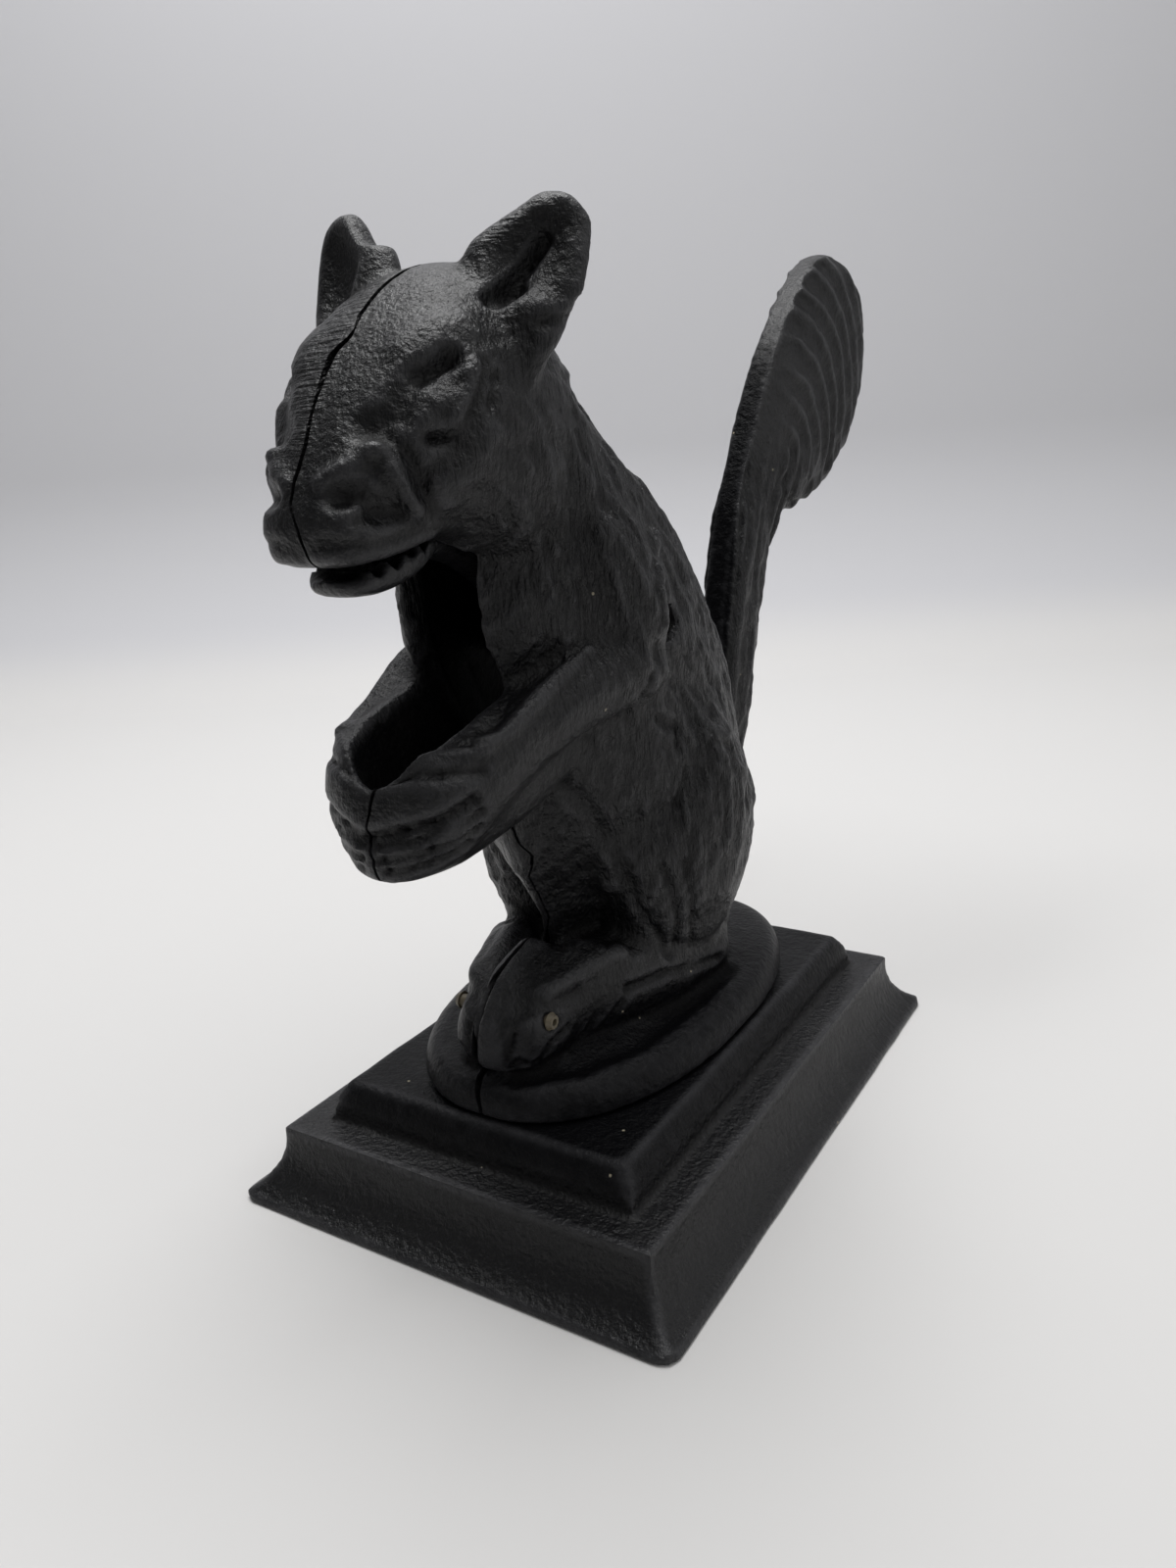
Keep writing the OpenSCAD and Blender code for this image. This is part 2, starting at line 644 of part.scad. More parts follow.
module washer() {
    color(steel) translate([0, 0, seat_z - washer_t]) difference() {
        cylinder(r = washer_d / 2, h = washer_t, $fn = 48);
        translate([0, 0, -1]) cylinder(r = screw_d / 2 + hole_clear, h = washer_t + 2, $fn = 48);
    }
}

module front_left_screw() { placed() translate([screw_x, front_screw_y, 0]) screw(); }
module front_right_screw() { placed() translate([-screw_x, front_screw_y, 0]) screw(); }
module rear_left_screw() { placed() translate([screw_x, rear_screw_y, 0]) screw(); }
module rear_right_screw() { placed() translate([-screw_x, rear_screw_y, 0]) screw(); }
module front_left_washer() { placed() translate([screw_x, front_screw_y, 0]) washer(); }
module front_right_washer() { placed() translate([-screw_x, front_screw_y, 0]) washer(); }
module rear_left_washer() { placed() translate([screw_x, rear_screw_y, 0]) washer(); }
module rear_right_washer() { placed() translate([-screw_x, rear_screw_y, 0]) washer(); }

left_half();
right_half();
tail_lever();
pivot_pin();
head_dowel();
haunch_dowel();
foot_rivet();
base();
front_left_screw();
front_right_screw();
rear_left_screw();
rear_right_screw();
front_left_washer();
front_right_washer();
rear_left_washer();
rear_right_washer();
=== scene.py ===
"""Squirrel nutcracker press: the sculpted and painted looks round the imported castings."""

import math

import bmesh
import bpy
import numpy as np
from bpy.props import FloatProperty, FloatVectorProperty, IntProperty, PointerProperty
from mathutils import Matrix, Vector, kdtree
from mathutils.bvhtree import BVHTree


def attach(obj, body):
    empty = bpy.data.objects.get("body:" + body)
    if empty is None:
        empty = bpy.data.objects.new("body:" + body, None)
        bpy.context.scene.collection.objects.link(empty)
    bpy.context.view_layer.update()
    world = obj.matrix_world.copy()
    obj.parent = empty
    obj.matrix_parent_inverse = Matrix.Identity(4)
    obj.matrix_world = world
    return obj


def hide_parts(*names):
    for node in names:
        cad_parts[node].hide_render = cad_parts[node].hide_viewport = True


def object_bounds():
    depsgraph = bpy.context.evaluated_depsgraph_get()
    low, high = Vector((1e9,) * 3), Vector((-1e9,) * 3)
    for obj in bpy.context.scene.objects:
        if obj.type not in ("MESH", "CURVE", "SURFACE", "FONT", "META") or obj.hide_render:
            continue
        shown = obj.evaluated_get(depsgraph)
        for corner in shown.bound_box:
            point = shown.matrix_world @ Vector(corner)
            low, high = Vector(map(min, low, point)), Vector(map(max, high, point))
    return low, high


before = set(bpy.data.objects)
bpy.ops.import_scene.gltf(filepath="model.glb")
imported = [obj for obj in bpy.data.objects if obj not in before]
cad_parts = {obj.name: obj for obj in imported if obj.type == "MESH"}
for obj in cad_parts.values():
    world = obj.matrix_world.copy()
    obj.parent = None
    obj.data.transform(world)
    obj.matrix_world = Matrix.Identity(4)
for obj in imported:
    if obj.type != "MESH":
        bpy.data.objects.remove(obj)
CAD_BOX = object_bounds()

bl_info = {
    "name": "Squirrel Nutcracker Press",
    "version": (1, 0, 0),
    "blender": (4, 5, 0),
    "location": "3D View > Sidebar > Nutcracker",
    "description": "Sculpts and paints the cast-iron squirrel nutcracker and sets its studio",
    "category": "Object",
}

MM = 0.001
# The castings are sculpted in millimetres: x to the squirrel's left, y to its back from the middle
# of the base, z up. The tables below and all that works on arrays of points keep to that frame.
MID_Y = 39.5  # the base's middle lies this far in front of the frame's origin, for the tail
DECK_Z = 22.8  # top of the base
PIVOT = (-9.0, 111.8)  # y and z of the tail's hinge
PIN_BOSS = 5.5  # radius round the hinge that keeps the castings' own bores
CASTINGS = ("left_half", "right_half", "tail_lever", "base")  # solids that a sculpted skin replaces

# Strokes of the modelling tool on the squirrel's left side, mirrored on its right:
# what it forms, how far it raises (or sinks) the skin, its half width and its path.
STROKES = (
    ("eye socket", -3.0, 2.8, ((13.6, -66.4, 156.6), (14.8, -64.6, 157.6), (16.2, -62.2, 158.8))),
    ("eye", 0.5, 1.4, ((14.6, -64.8, 157.0), (15.4, -63.6, 157.6))),
    ("brow", 0.7, 4.5, ((10.0, -64.8, 160.6), (12.1, -61.6, 162.9), (15.2, -57.7, 163.6))),
    ("hollow from eye to muzzle", -1.5, 4.0,
     ((12.2, -68.4, 154.3), (11.5, -70.3, 150.9), (8.7, -72.4, 149.5))),
    ("under the eye", -0.9, 2.4, ((15.4, -65.0, 154.8), (17.0, -62.6, 155.6))),
    ("fold behind the eye", 0.7, 1.7,
     ((18.4, -59.4, 157.4), (18.4, -61.4, 153.6), (17.6, -63.6, 150.7))),
    ("crease behind the fold", -0.7, 1.4,
     ((18.8, -57.8, 157.6), (18.9, -59.8, 153.3), (18.4, -61.5, 150.1))),
    ("pit in the cheek", -1.0, 1.8, ((19.6, -56.3, 155.4), (19.6, -57.2, 151.6))),
    ("pit under the eye", -1.8, 2.0, ((15.2, -67.5, 147.7), (16.9, -64.6, 147.5))),
    ("cheek fold", 1.1, 2.2,
     ((9.5, -73.3, 146.9), (11.7, -71.9, 144.7), (12.6, -70.4, 140.8), (13.0, -69.1, 137.7))),
    ("crease of the cheek", -1.0, 2.2,
     ((11.4, -71.5, 147.7), (13.4, -69.6, 144.8), (14.1, -68.0, 140.6), (14.2, -66.8, 137.7))),
    ("ridge of the nose", 1.0, 2.5,
     ((3.4, -78.2, 142.3), (5.9, -77.1, 143.8), (8.5, -75.0, 145.5), (10.4, -72.9, 146.4))),
    ("nostril", -2.1, 3.0, ((6.4, -78.6, 140.4), (9.4, -76.9, 140.7), (11.0, -75.0, 138.6))),
    ("side of the nostril", 1.0, 1.9,
     ((11.5, -72.6, 143.7), (12.2, -71.0, 141.3), (12.7, -69.8, 138.4))),
    ("hollow of the muzzle", -1.4, 2.4,
     ((10.0, -77.6, 137.1), (11.1, -74.6, 137.3), (12.0, -70.8, 137.8))),
    ("upper lip", 0.6, 1.8,
     ((2.2, -79.8, 132.1), (5.9, -79.1, 131.7), (9.6, -76.0, 131.6), (11.0, -70.5, 131.4),
      (12.4, -65.5, 132.6))),
    ("crease over the lip", -0.6, 1.6,
     ((4.8, -80.5, 134.4), (8.8, -78.0, 134.2), (11.0, -73.0, 134.2), (12.6, -68.0, 135.2))),
    ("jowl", 0.9, 4.5, ((15.6, -65.2, 140.1), (17.6, -61.5, 142.9), (19.1, -58.1, 146.6))),
    ("forearm ridge", 1.4, 2.2,
     ((19.3, -34.3, 110.7), (18.2, -42.6, 107.8), (17.3, -49.1, 104.1), (16.4, -55.3, 101.5),
      (14.7, -60.8, 100.2))),
    ("forearm plane", -1.3, 4.0,
     ((15.3, -40.7, 111.1), (12.6, -49.2, 106.4), (14.0, -57.2, 102.8))),
    ("elbow crease", -0.9, 1.8,
     ((24.7, -18.5, 109.5), (24.8, -21.8, 104.0), (22.4, -23.5, 99.8))),
    ("shoulder ridge", 1.0, 2.4,
     ((20.1, -9.9, 128.3), (24.5, -16.1, 119.2), (25.1, -16.7, 112.1))),
    ("paw ridge", 0.9, 1.6, ((0.8, -70.5, 97.6), (7.8, -67.8, 99.1), (15.2, -60.4, 99.8))),
    ("crease under the ridge", -1.7, 1.7,
     ((0.8, -71.6, 96.4), (5.6, -70.7, 96.8), (11.5, -67.7, 97.0), (15.5, -62.9, 96.2))),
    ("first finger", -2.0, 2.0,
     ((0.6, -74.4, 86.6), (6.5, -72.8, 88.0), (11.3, -69.9, 89.0), (15.6, -64.2, 92.0))),
    ("second finger", -1.5, 1.25, ((1.1, -74.1, 85.1), (9.1, -71.3, 86.6), (15.5, -62.8, 89.3))),
    ("third finger", -1.5, 1.25, ((1.9, -73.9, 83.1), (10.0, -70.3, 84.7), (14.4, -62.8, 86.6))),
    ("fourth finger", -1.4, 1.25, ((2.6, -73.0, 80.9), (9.4, -69.8, 82.4), (13.0, -64.4, 84.1))),
    ("swirl under the elbow", -0.9, 2.2,
     ((22.3, -15.4, 94.0), (23.5, -10.5, 91.0), (23.7, -10.4, 87.6))),
    ("haunch groove", -1.0, 2.0, ((24.0, -8.9, 81.7), (23.0, -10.8, 76.0))),
    ("front of the haunch", -0.8, 2.6,
     ((11.9, -33.8, 85.1), (14.1, -28.2, 78.0), (15.8, -22.5, 68.3), (17.2, -18.9, 58.4))),
    ("fold low on the haunch a", -0.9, 1.8,
     ((17.5, -18.7, 56.9), (19.2, -14.3, 49.0), (20.3, -10.8, 42.4))),
    ("fold low on the haunch b", -0.9, 1.6,
     ((21.8, -15.4, 64.1), (22.6, -11.8, 53.3), (20.4, -9.1, 44.8))),
    ("fold low on the haunch c", -0.8, 1.6,
     ((24.7, -10.7, 63.9), (24.1, -7.8, 52.0), (21.6, -4.4, 42.2))),
    ("waist", -2.4, 6.5, ((6.0, -21.0, 51.0), (12.0, -19.5, 50.5), (17.0, -17.0, 51.5))),
    ("foot against mound", -1.4, 1.7,
     ((17.0, -23.4, 40.3), (20.3, -12.8, 39.8), (22.8, 7.5, 34.8))),
    ("instep", 1.2, 3.2, ((9.6, -39.5, 45.4), (12.2, -29.9, 47.0), (14.6, -21.6, 48.1))),
    ("sole line", -1.1, 1.5,
     ((1.0, -47.4, 32.4), (7.1, -48.1, 33.7), (10.5, -39.2, 31.1), (11.9, -29.6, 31.3),
      (15.3, -26.3, 36.6), (17.4, -22.5, 40.0))),
    ("filling between the feet", 3.0, 5.0,
     ((0.6, -49.0, 33.0), (0.6, -47.0, 40.0), (0.6, -41.0, 46.0), (0.6, -32.0, 49.0))),
    ("toe a", -0.9, 1.1, ((4.1, -48.8, 35.0), (6.0, -47.6, 39.4))),
    ("toe b", -0.9, 1.1, ((9.0, -44.9, 32.9), (11.0, -42.8, 36.5), (12.1, -38.1, 38.2))),
    ("toe c", -0.8, 1.1, ((11.1, -36.6, 31.2), (12.2, -32.1, 33.9), (13.6, -30.4, 36.9))),
    ("hollow on the foot", -0.8, 3.2,
     ((7.0, -44.6, 43.5), (9.5, -41.6, 44.3), (11.8, -35.5, 44.0))),
    ("trough of the mound", -1.0, 4.5,
     ((6.0, -46.8, 30.6), (14.8, -39.7, 30.8), (20.5, -26.5, 30.9), (22.3, -8.6, 31.0),
      (22.4, 9.8, 31.0))),
)
FAR_STROKES = 0.75  # how deep the strokes are on the right side, as a share of the left
# Strokes on the left ear alone: its cup faces outwards, behind a broad front band
EAR_STROKES = (
    ("ear groove", -2.6, 2.0, ((16.4, -47.4, 168.5), (18.2, -44.3, 172.1), (20.4, -42.6, 175.4))),
    ("foot of the groove", -1.8, 2.6, ((15.6, -49.6, 166.8), (17.2, -46.6, 169.2))),
    ("ear cup", -0.7, 3.4, ((24.0, -41.6, 176.0), (24.2, -43.0, 171.2), (23.4, -45.0, 168.0))),
    ("ear rim", 0.8, 1.6,
     ((23.9, -41.2, 181.2), (26.3, -38.9, 177.5), (26.8, -40.4, 173.2), (26.0, -42.4, 168.0))),
    ("root of the ear", -1.1, 1.8, ((24.9, -43.9, 164.2), (22.0, -46.5, 163.2))),
)
# Soft pulls on the figure's skin: what they shape, their middle, their reach and their move
PULLS = (
    ("right ear's tip", (-20, -42, 180), 13, (0, 0, 2.5)),
    ("right ear's inner edge", (-11, -41, 175), 8, (1.8, 0, 0)),
    ("right ear's inner corner", (-12, -41, 183), 7, (0, 0, -3.8)),
    ("left ear's inner corner", (13, -42, 181), 8, (1.1, 0, -0.9)),
    ("right paw", (-16, -60, 90), 16, (-1.6, 0, 0)),
    ("right foot", (-5, -43, 40), 10, (2.4, 0, 0)),
)
# Guides of the fur on the left side: where, which way it lies and how deep it is, from 0 to 1
FUR = (
    ("haunch", (24, 0, 82), (0, 0.15, -1), 1.0),
    ("low on the haunch", (25, -6, 66), (0, -0.1, -1), 1.0),
    ("foot of the haunch", (22, 0, 46), (0, -0.4, -0.9), 0.55),
    ("over the haunch", (24, -10, 97), (0, 0.7, -0.7), 0.75),
    ("back, behind the shoulder", (15, 8, 112), (0, 0.35, -1), 0.9),
    ("nape", (15, -18, 138), (0, 0.5, -0.8), 0.8),
    ("shoulder", (22, -20, 120), (0, 0.4, -0.9), 0.7),
    ("chest", (19, -40, 125), (0, -0.15, -1), 0.9),
    ("throat", (20, -38, 143), (0, 0.5, -0.8), 0.85),
    ("cheek", (19, -57, 150), (0, 0.8, -0.5), 0.45),
    ("temple", (17, -50, 163), (0.2, 0.9, 0.2), 0.3),
    ("forehead", (5, -60, 165), (0, 0.7, 0.5), 0.06),
    ("bridge of the nose", (5, -75, 145), (0, 0.5, 0.8), 0.05),
    ("muzzle", (10, -72, 136), (0, 0.9, 0.2), 0.08),
    ("forearm", (18, -45, 104), (0, -0.8, -0.4), 0.3),
    ("fingers", (10, -68, 90), (0.5, -0.6, 0), 0.03),
    ("wrist", (15, -58, 98), (0.5, -0.6, 0), 0.08),
    ("belly", (14, -28, 75), (0, -0.3, -1), 0.35),
    ("instep", (10, -38, 42), (0, -1, -0.2), 0.25),
    ("heel", (18, -18, 43), (0, -0.8, -0.5), 0.25),
    ("front of the mound", (10, -50, 27), (0, 1, 0), 0.0),
    ("trough by the foot", (24, -14, 37), (0, -1, 0), 0.05),
    ("trough by the haunch", (23, 6, 38), (0, -1, 0), 0.1),
    ("side of the mound", (27, -25, 28), (0, 1, 0), 0.0),
    ("side of the mound, further back", (30, 5, 28), (0, 1, 0), 0.0),
    ("rear of the mound", (18, 42, 28), (0, 1, 0), 0.0),
    ("rump", (15, 22, 55), (0, 0.2, -1), 0.8),
    ("lower back", (12, 26, 85), (0, 0.2, -1), 0.9),
    ("back of the ear", (22, -42, 175), (0, 0, 1), 0.12),
    ("front of the ear", (12, -46, 172), (0.5, 0.2, 0.6), 0.1),
)
FUR_REACH = 11.0  # how far each guide is felt
# Strands of the fur, coarse to fine: width, half length, share of the depth and noise seed
STRANDS = ((6.0, 15.0, 0.8, 10), (1.9, 9.0, 0.6, 11), (1.15, 5.0, 0.35, 12))
# One rim of the jaw, as three points of a smooth curve
JAW_RIM = ((5.9, -73.0, 129.9), (7.6, -69.5, 130.6), (7.7, -60.6, 132.9))
# The seam between the halves on the front: pairs of height and distance to the left of the middle
SEAM = (
    (22, 0), (25, 0.5), (30, -1), (45, -1.2), (50, -0.5), (54, 0.8), (65, 1.2),
    (67, 2.4), (70, 3.2), (72.5, 1.2), (78, 0.3), (83, 0.7), (87, -0.4), (91, 0.8),
    (96, 1.2), (105, 0.3), (125, 0), (131.5, 1.1), (136, 0.3), (139.5, -1.7), (148, -1.6),
    (152, -2.4), (158, -2.8), (160.6, -2.8), (162.8, -0.9), (164, -0.7), (166, -1.4), (170, -1.2),
    (174, -0.2), (183, 0),
)
# How wide the seam gapes on each side: pairs of height and width
GAPE = (
    (24, 0.5), (30, 0.7), (46, 0.7), (52, 0.3), (90, 0.35), (130, 0.3), (140, 0.35),
    (155, 0.45), (160, 0.9), (162, 0.8), (164, 0.25), (166, 0.5), (172, 0.6), (176, 0.4),
)
PLUME_MIDDLE = (86.7, 137.5)  # y and z of the point that the tail's ridges run round
PLUME_WAY = (0.38, 0.93)  # y and z of the direction in which the plume stands
PLUME_RADII = (8.4, 7.2)  # distance between two ridges along and across the plume
# A stroke that nicks the plume's rear edge: height, half width and path
PLUME_NICK = (-1.4, 2.6, ((6.0, 92.1, 127.5), (6.2, 95.5, 125.5)))
STEM_WAY = (0, 0.36, 0.93)  # way of the strands up the tail's stem
BASE_HALF = (50, 71)  # half width and half length of the base's foot
MOUND_RADII = (31.5, 52.8)  # of the oval under the figure
# The camera's place, in metres from the base's middle, and the ways to its right and its back
CAMERA_PLACE = (0.124813, -0.203672, 0.146403)
CAMERA_RIGHT = (0.8527, 0.5192, -0.0584)
CAMERA_BACK = (0.5125, -0.8094, 0.2872)
COLOUR_A, COLOUR_B, MIXED = 6, 7, 2  # sockets of a Mix node that mixes colours


def linear(hex_colour):
    """An sRGB hex value as the linear colour that the shaders take."""
    channels = [int(hex_colour[i : i + 2], 16) / 255 for i in (1, 3, 5)]
    return tuple(
        c / 12.92 if c <= 0.04045 else ((c + 0.055) / 1.055) ** 2.4 for c in channels
    ) + (1.0,)


# ---- settings


def length(name, description, default, low, high):
    """A size in a property group, given in millimetres."""
    return FloatProperty(
        name=name,
        description=description,
        default=default * MM,
        min=low * MM,
        max=high * MM,
        unit="LENGTH",
    )


def colour(name, description, hex_colour):
    """A colour in a property group."""
    return FloatVectorProperty(
        name=name,
        description=description,
        default=linear(hex_colour),
        size=4,
        min=0,
        max=1,
        subtype="COLOR",
    )


class CastingSettings(bpy.types.PropertyGroup):
    skin: length("Skin spacing", "Distance between the points of the sculpted skin", 0.75, 0.4, 2)
    fur: length("Fur depth", "How far the strands of the fur rise and sink", 0.75, 0, 2)
    rings: length(
        "Tail ridge height", "Height of the curved ridges on the sides of the tail", 0.8, 0, 2
    )
    teeth: IntProperty(
        name="Teeth",
        description="Pointed teeth along each side of the jaw",
        default=5,
        min=0,
        max=12,
    )
    tooth: length("Tooth height", "How far each tooth stands out of the rim of the jaw", 0.7, 0, 4)


class FinishSettings(bpy.types.PropertyGroup):
    paint: colour("Black paint", "Colour of the satin paint on the iron", "#09090b")
    worn: colour("Worn crests", "Colour where handling has thinned the paint", "#2b2b2d")
    dust: colour("Dust", "Colour of the dust and old polish in the hollows", "#1b1a19")


class StageSettings(bpy.types.PropertyGroup):
    table: colour("Table", "Colour of the white table top", "#cfcecd")
    wall: colour("Wall", "Colour of the grey wall behind", "#c4c4c7")
    lamp: FloatProperty(
        name="Ceiling lamp",
        description="Power of the soft lamp overhead",
        default=8.5,
        min=0,
        subtype="POWER",
    )
    room: FloatProperty(
        name="Room light",
        description="Strength of the even light of the room",
        default=0.85,
        min=0,
    )


# ---- small helpers


def add_node(tree, kind, values=None, links=None, **options):
    """Adds a shader or geometry node, sets its options and socket values and links its inputs."""
    node = tree.nodes.new(kind)
    for key, value in options.items():
        setattr(node, key, value)
    for key, value in (values or {}).items():
        node.inputs[key].default_value = value
    for key, socket in (links or {}).items():
        tree.links.new(socket, node.inputs[key])
    return node


def link_object(name, mesh):
    """A new object that shows the mesh in the scene."""
    piece = bpy.data.objects.new(name, mesh)
    bpy.context.scene.collection.objects.link(piece)
    return piece


def baked(piece):
    """The piece's mesh with its modifiers worked in, which then come off."""
    graph = bpy.context.evaluated_depsgraph_get()
    mesh = bpy.data.meshes.new_from_object(piece.evaluated_get(graph), depsgraph=graph)
    mesh.name = piece.name
    piece.modifiers.clear()
    return mesh


def remeshed(piece, spacing):
    """The piece's mesh as one closed skin, its points the given distance apart."""
    skin = piece.modifiers.new("skin", "REMESH")
    skin.mode = "VOXEL"
    skin.voxel_size = spacing
    return baked(piece)


# ---- modelling in numbers


def get_points(mesh):
    """The mesh's points in the sculpting frame."""
    points = np.empty(len(mesh.vertices) * 3)
    mesh.vertices.foreach_get("co", points)
    return points.reshape(-1, 3) / MM + (0, MID_Y, 0)


def put_points(mesh, points):
    """Moves the mesh's points to places in the sculpting frame."""
    mesh.vertices.foreach_set("co", ((points - (0, MID_Y, 0)) * MM).ravel())
    mesh.update()


def get_normals(mesh):
    normals = np.empty(len(mesh.vertices) * 3)
    mesh.vertex_normals.foreach_get("vector", normals)
    return normals.reshape(-1, 3)


def get_edges(mesh):
    edges = np.empty(len(mesh.edges) * 2, dtype=np.int32)
    mesh.edges.foreach_get("vertices", edges)
    return edges.reshape(-1, 2)


def put_attribute(mesh, name, values):
    """Writes one value for each point, which the paint reads."""
    layer = mesh.attributes.new(name, "FLOAT", "POINT")
    layer.data.foreach_set("value", values.astype(np.float32))


def voxel_skin(name, nodes, spacing, overlap=0.0):
    """One closed skin of even points round copies of the CAD nodes."""
    same_point, on_seam = 1e-5 * MM, 0.1 * MM
    joined = bmesh.new()
    for node in nodes:
        single = bmesh.new()
        single.from_mesh(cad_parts[node].data)
        bmesh.ops.remove_doubles(single, verts=single.verts, dist=same_point)
        # The halves' meeting faces pass each other, so that the skin closes over them
        side = math.copysign(1, sum(vert.co.x for vert in single.verts))
        for vert in single.verts:
            if overlap and abs(vert.co.x) < on_seam:
                vert.co.x -= side * overlap * MM
        copy = bpy.data.meshes.new(name)
        single.to_mesh(copy)
        single.free()
        joined.from_mesh(copy)
    mesh = bpy.data.meshes.new(name)
    joined.to_mesh(mesh)
    joined.free()
    piece = link_object(name, mesh)
    piece.data = remeshed(piece, spacing)
    return piece


def skin_spacing(share):
    """Distance between a skin's points: the set spacing times the given share."""
    casting = bpy.context.scene.nutcracker_casting
    return casting.skin * share * 1


def averaged(values, edges):
    """Each point's mean over its neighbours."""
    count = len(values)
    share = np.bincount(edges.ravel(), minlength=count).clip(1)
    out = np.empty_like(values)
    for axis in range(values.shape[1]):
        column = values[:, axis]
        out[:, axis] = np.bincount(edges[:, 0], column[edges[:, 1]], count)
        out[:, axis] += np.bincount(edges[:, 1], column[edges[:, 0]], count)
    return out / share[:, None]


def relax(points, edges, rounds, weight):
    """Smooths away the facets but keeps the volume."""
    pull = 0.6  # how far a point goes towards its neighbours in one round
    start = points
    weight = weight[:, None] * pull
    for _ in range(rounds):
        points = points + (averaged(points, edges) - points) * weight
    shift = points - start
    for _ in range(rounds):
        shift = shift + (averaged(shift, edges) - shift) * pull
    return points - shift * np.minimum(weight / pull, 1)


def relax_rounds(rounds, drawn_for, spacing, least):
    """As many rounds of relaxing as smooth equally far at any spacing of the points."""
    return max(least, int(rounds * (drawn_for * MM / spacing) ** 2))


def value_noise(points, cell, seed):
    """Smooth noise from -1 to 1 in blobs of the given size; the same on every run."""
    spots = points / cell + 500.0  # the shift keeps the cells' numbers positive
    low = np.floor(spots).astype(np.int64)
    t = spots - low
    t = t * t * (3 - 2 * t)
    total = np.zeros(len(points))
    for corner in range(8):
        step = np.array([(corner >> axis) & 1 for axis in range(3)])
        # Large primes and shifts scramble the corner's whole numbers into a value
        key = ((low + step) * (73856093, 19349663, 83492791)).sum(axis=1) + seed * 2654435
        key = (key ^ (key >> 13)) * 1274126177 & 0x7FFFFFFF
        value = ((key ^ (key >> 15)) & 0xFFFF) / 32767.5 - 1
        total += value * np.prod(np.where(step, t, 1 - t), axis=1)
    return total


def smooth_step(low, high, values):
    t = np.clip((values - low) / (high - low), 0, 1)
    return t * t * (3 - 2 * t)


def stroke(points, normals, height, radius, path, side=1):
    """Raises or sinks the skin along a path, deepest in its middle."""
    fine_radius = 2.3  # grooves narrower than this are cut to a V, all else is rounded
    hold = 1.4  # full on skin turned up to 44 degrees from the path's, gone at 90 degrees
    path = np.array(path) * (side, 1, 1)
    low, high = path.min(0) - 3 * radius, path.max(0) + 3 * radius
    index = np.flatnonzero((points > low).all(1) & (points < high).all(1))
    if not len(index):
        return
    spots = points[index]
    snapped = [np.argmin(((spots - p) ** 2).sum(1)) for p in path]
    facing = normals[index][snapped].mean(0)
    path = spots[snapped]
    away = np.full(len(index), np.inf)
    for a, b in zip(path[:-1], path[1:]):
        span = b - a
        t = np.clip(((spots - a) @ span) / max(span @ span, 1e-9), 0, 1)
        away = np.minimum(away, np.linalg.norm(spots - a - t[:, None] * span, axis=1))
    t = np.clip(1 - away / radius, 0, 1)
    shape = t**1.5 if height < 0 and radius < fine_radius else (t * (2 - t)) ** 2
    turned = np.clip(normals[index] @ facing * hold, 0, 1)
    points[index] += normals[index] * (height * shape * turned)[:, None]


def push(points, centre, radius, move):
    """Pulls a soft region of the skin along."""
    t = np.clip(1 - ((points - centre) ** 2).sum(1) / radius**2, 0, 1)
    points += (t * t)[:, None] * np.array(move)


def openness(piece, points):
    """How much of the room each point sees, from 0 deep inside to about 1 outside."""
    spacing, lift_off, far = 2.4, 1.2, 300  # of the coarse skin, of a ray's start and of its end
    rays, lowest, grazing = 26, -0.45, 0.15  # tried on a sphere, above this height and this cosine
    coarse = link_object("coarse", piece.data.copy())
    mesh = remeshed(coarse, spacing * MM)
    spots, facing = get_points(mesh), get_normals(mesh)
    mesh.calc_loop_triangles()
    tris = [tuple(tri.vertices) for tri in mesh.loop_triangles]
    tree = BVHTree.FromPolygons([tuple(p) for p in spots], tris)
    turn = np.arange(rays) * math.pi * (3 - math.sqrt(5))
    up = 1 - 2 * (np.arange(rays) + 0.5) / rays
    around = np.sqrt(1 - up * up)
    ways = np.stack([around * np.cos(turn), around * np.sin(turn), up], axis=1)
    seen = np.zeros(len(spots))
    total = np.zeros(len(spots))
    for way in ways[up > lowest]:
        cosine = facing @ way
        ray = Vector(way)
        for i in np.flatnonzero(cosine > grazing):
            total[i] += cosine[i]
            start = Vector(spots[i] + facing[i] * lift_off)
            if tree.ray_cast(start, ray, far)[0] is None:
                seen[i] += cosine[i]
    seen = np.where(total > 0, seen / total.clip(1e-6), 0)
    lookup = kdtree.KDTree(len(spots))
    for i, spot in enumerate(spots):
        lookup.insert(spot, i)
    lookup.balance()
    nearest = [lookup.find(spot)[1] for spot in points]
    bpy.data.objects.remove(coarse)
    return seen[nearest]


def snap_back(points, chosen, nodes):
    """Puts the chosen points exactly on the CAD surface: bores, seats and inside faces."""
    verts, faces = [], []
    for node in nodes:
        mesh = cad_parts[node].data
        mesh.calc_loop_triangles()
        faces += [tuple(len(verts) + i for i in tri.vertices) for tri in mesh.loop_triangles]
        verts += [tuple(p) for p in get_points(mesh)]
    tree = BVHTree.FromPolygons(verts, faces)
    for i in np.flatnonzero(chosen):
        points[i] = tree.find_nearest(points[i])[0]


def strand_noise(points, way, cell, reach, seed, samples):
    """Noise drawn out into strands along a direction, with a spread of 1."""
    strand = np.zeros(len(points))
    for step in np.linspace(-reach, reach, samples):
        strand += value_noise(points + way * step, cell, seed)
    return strand / strand.std()


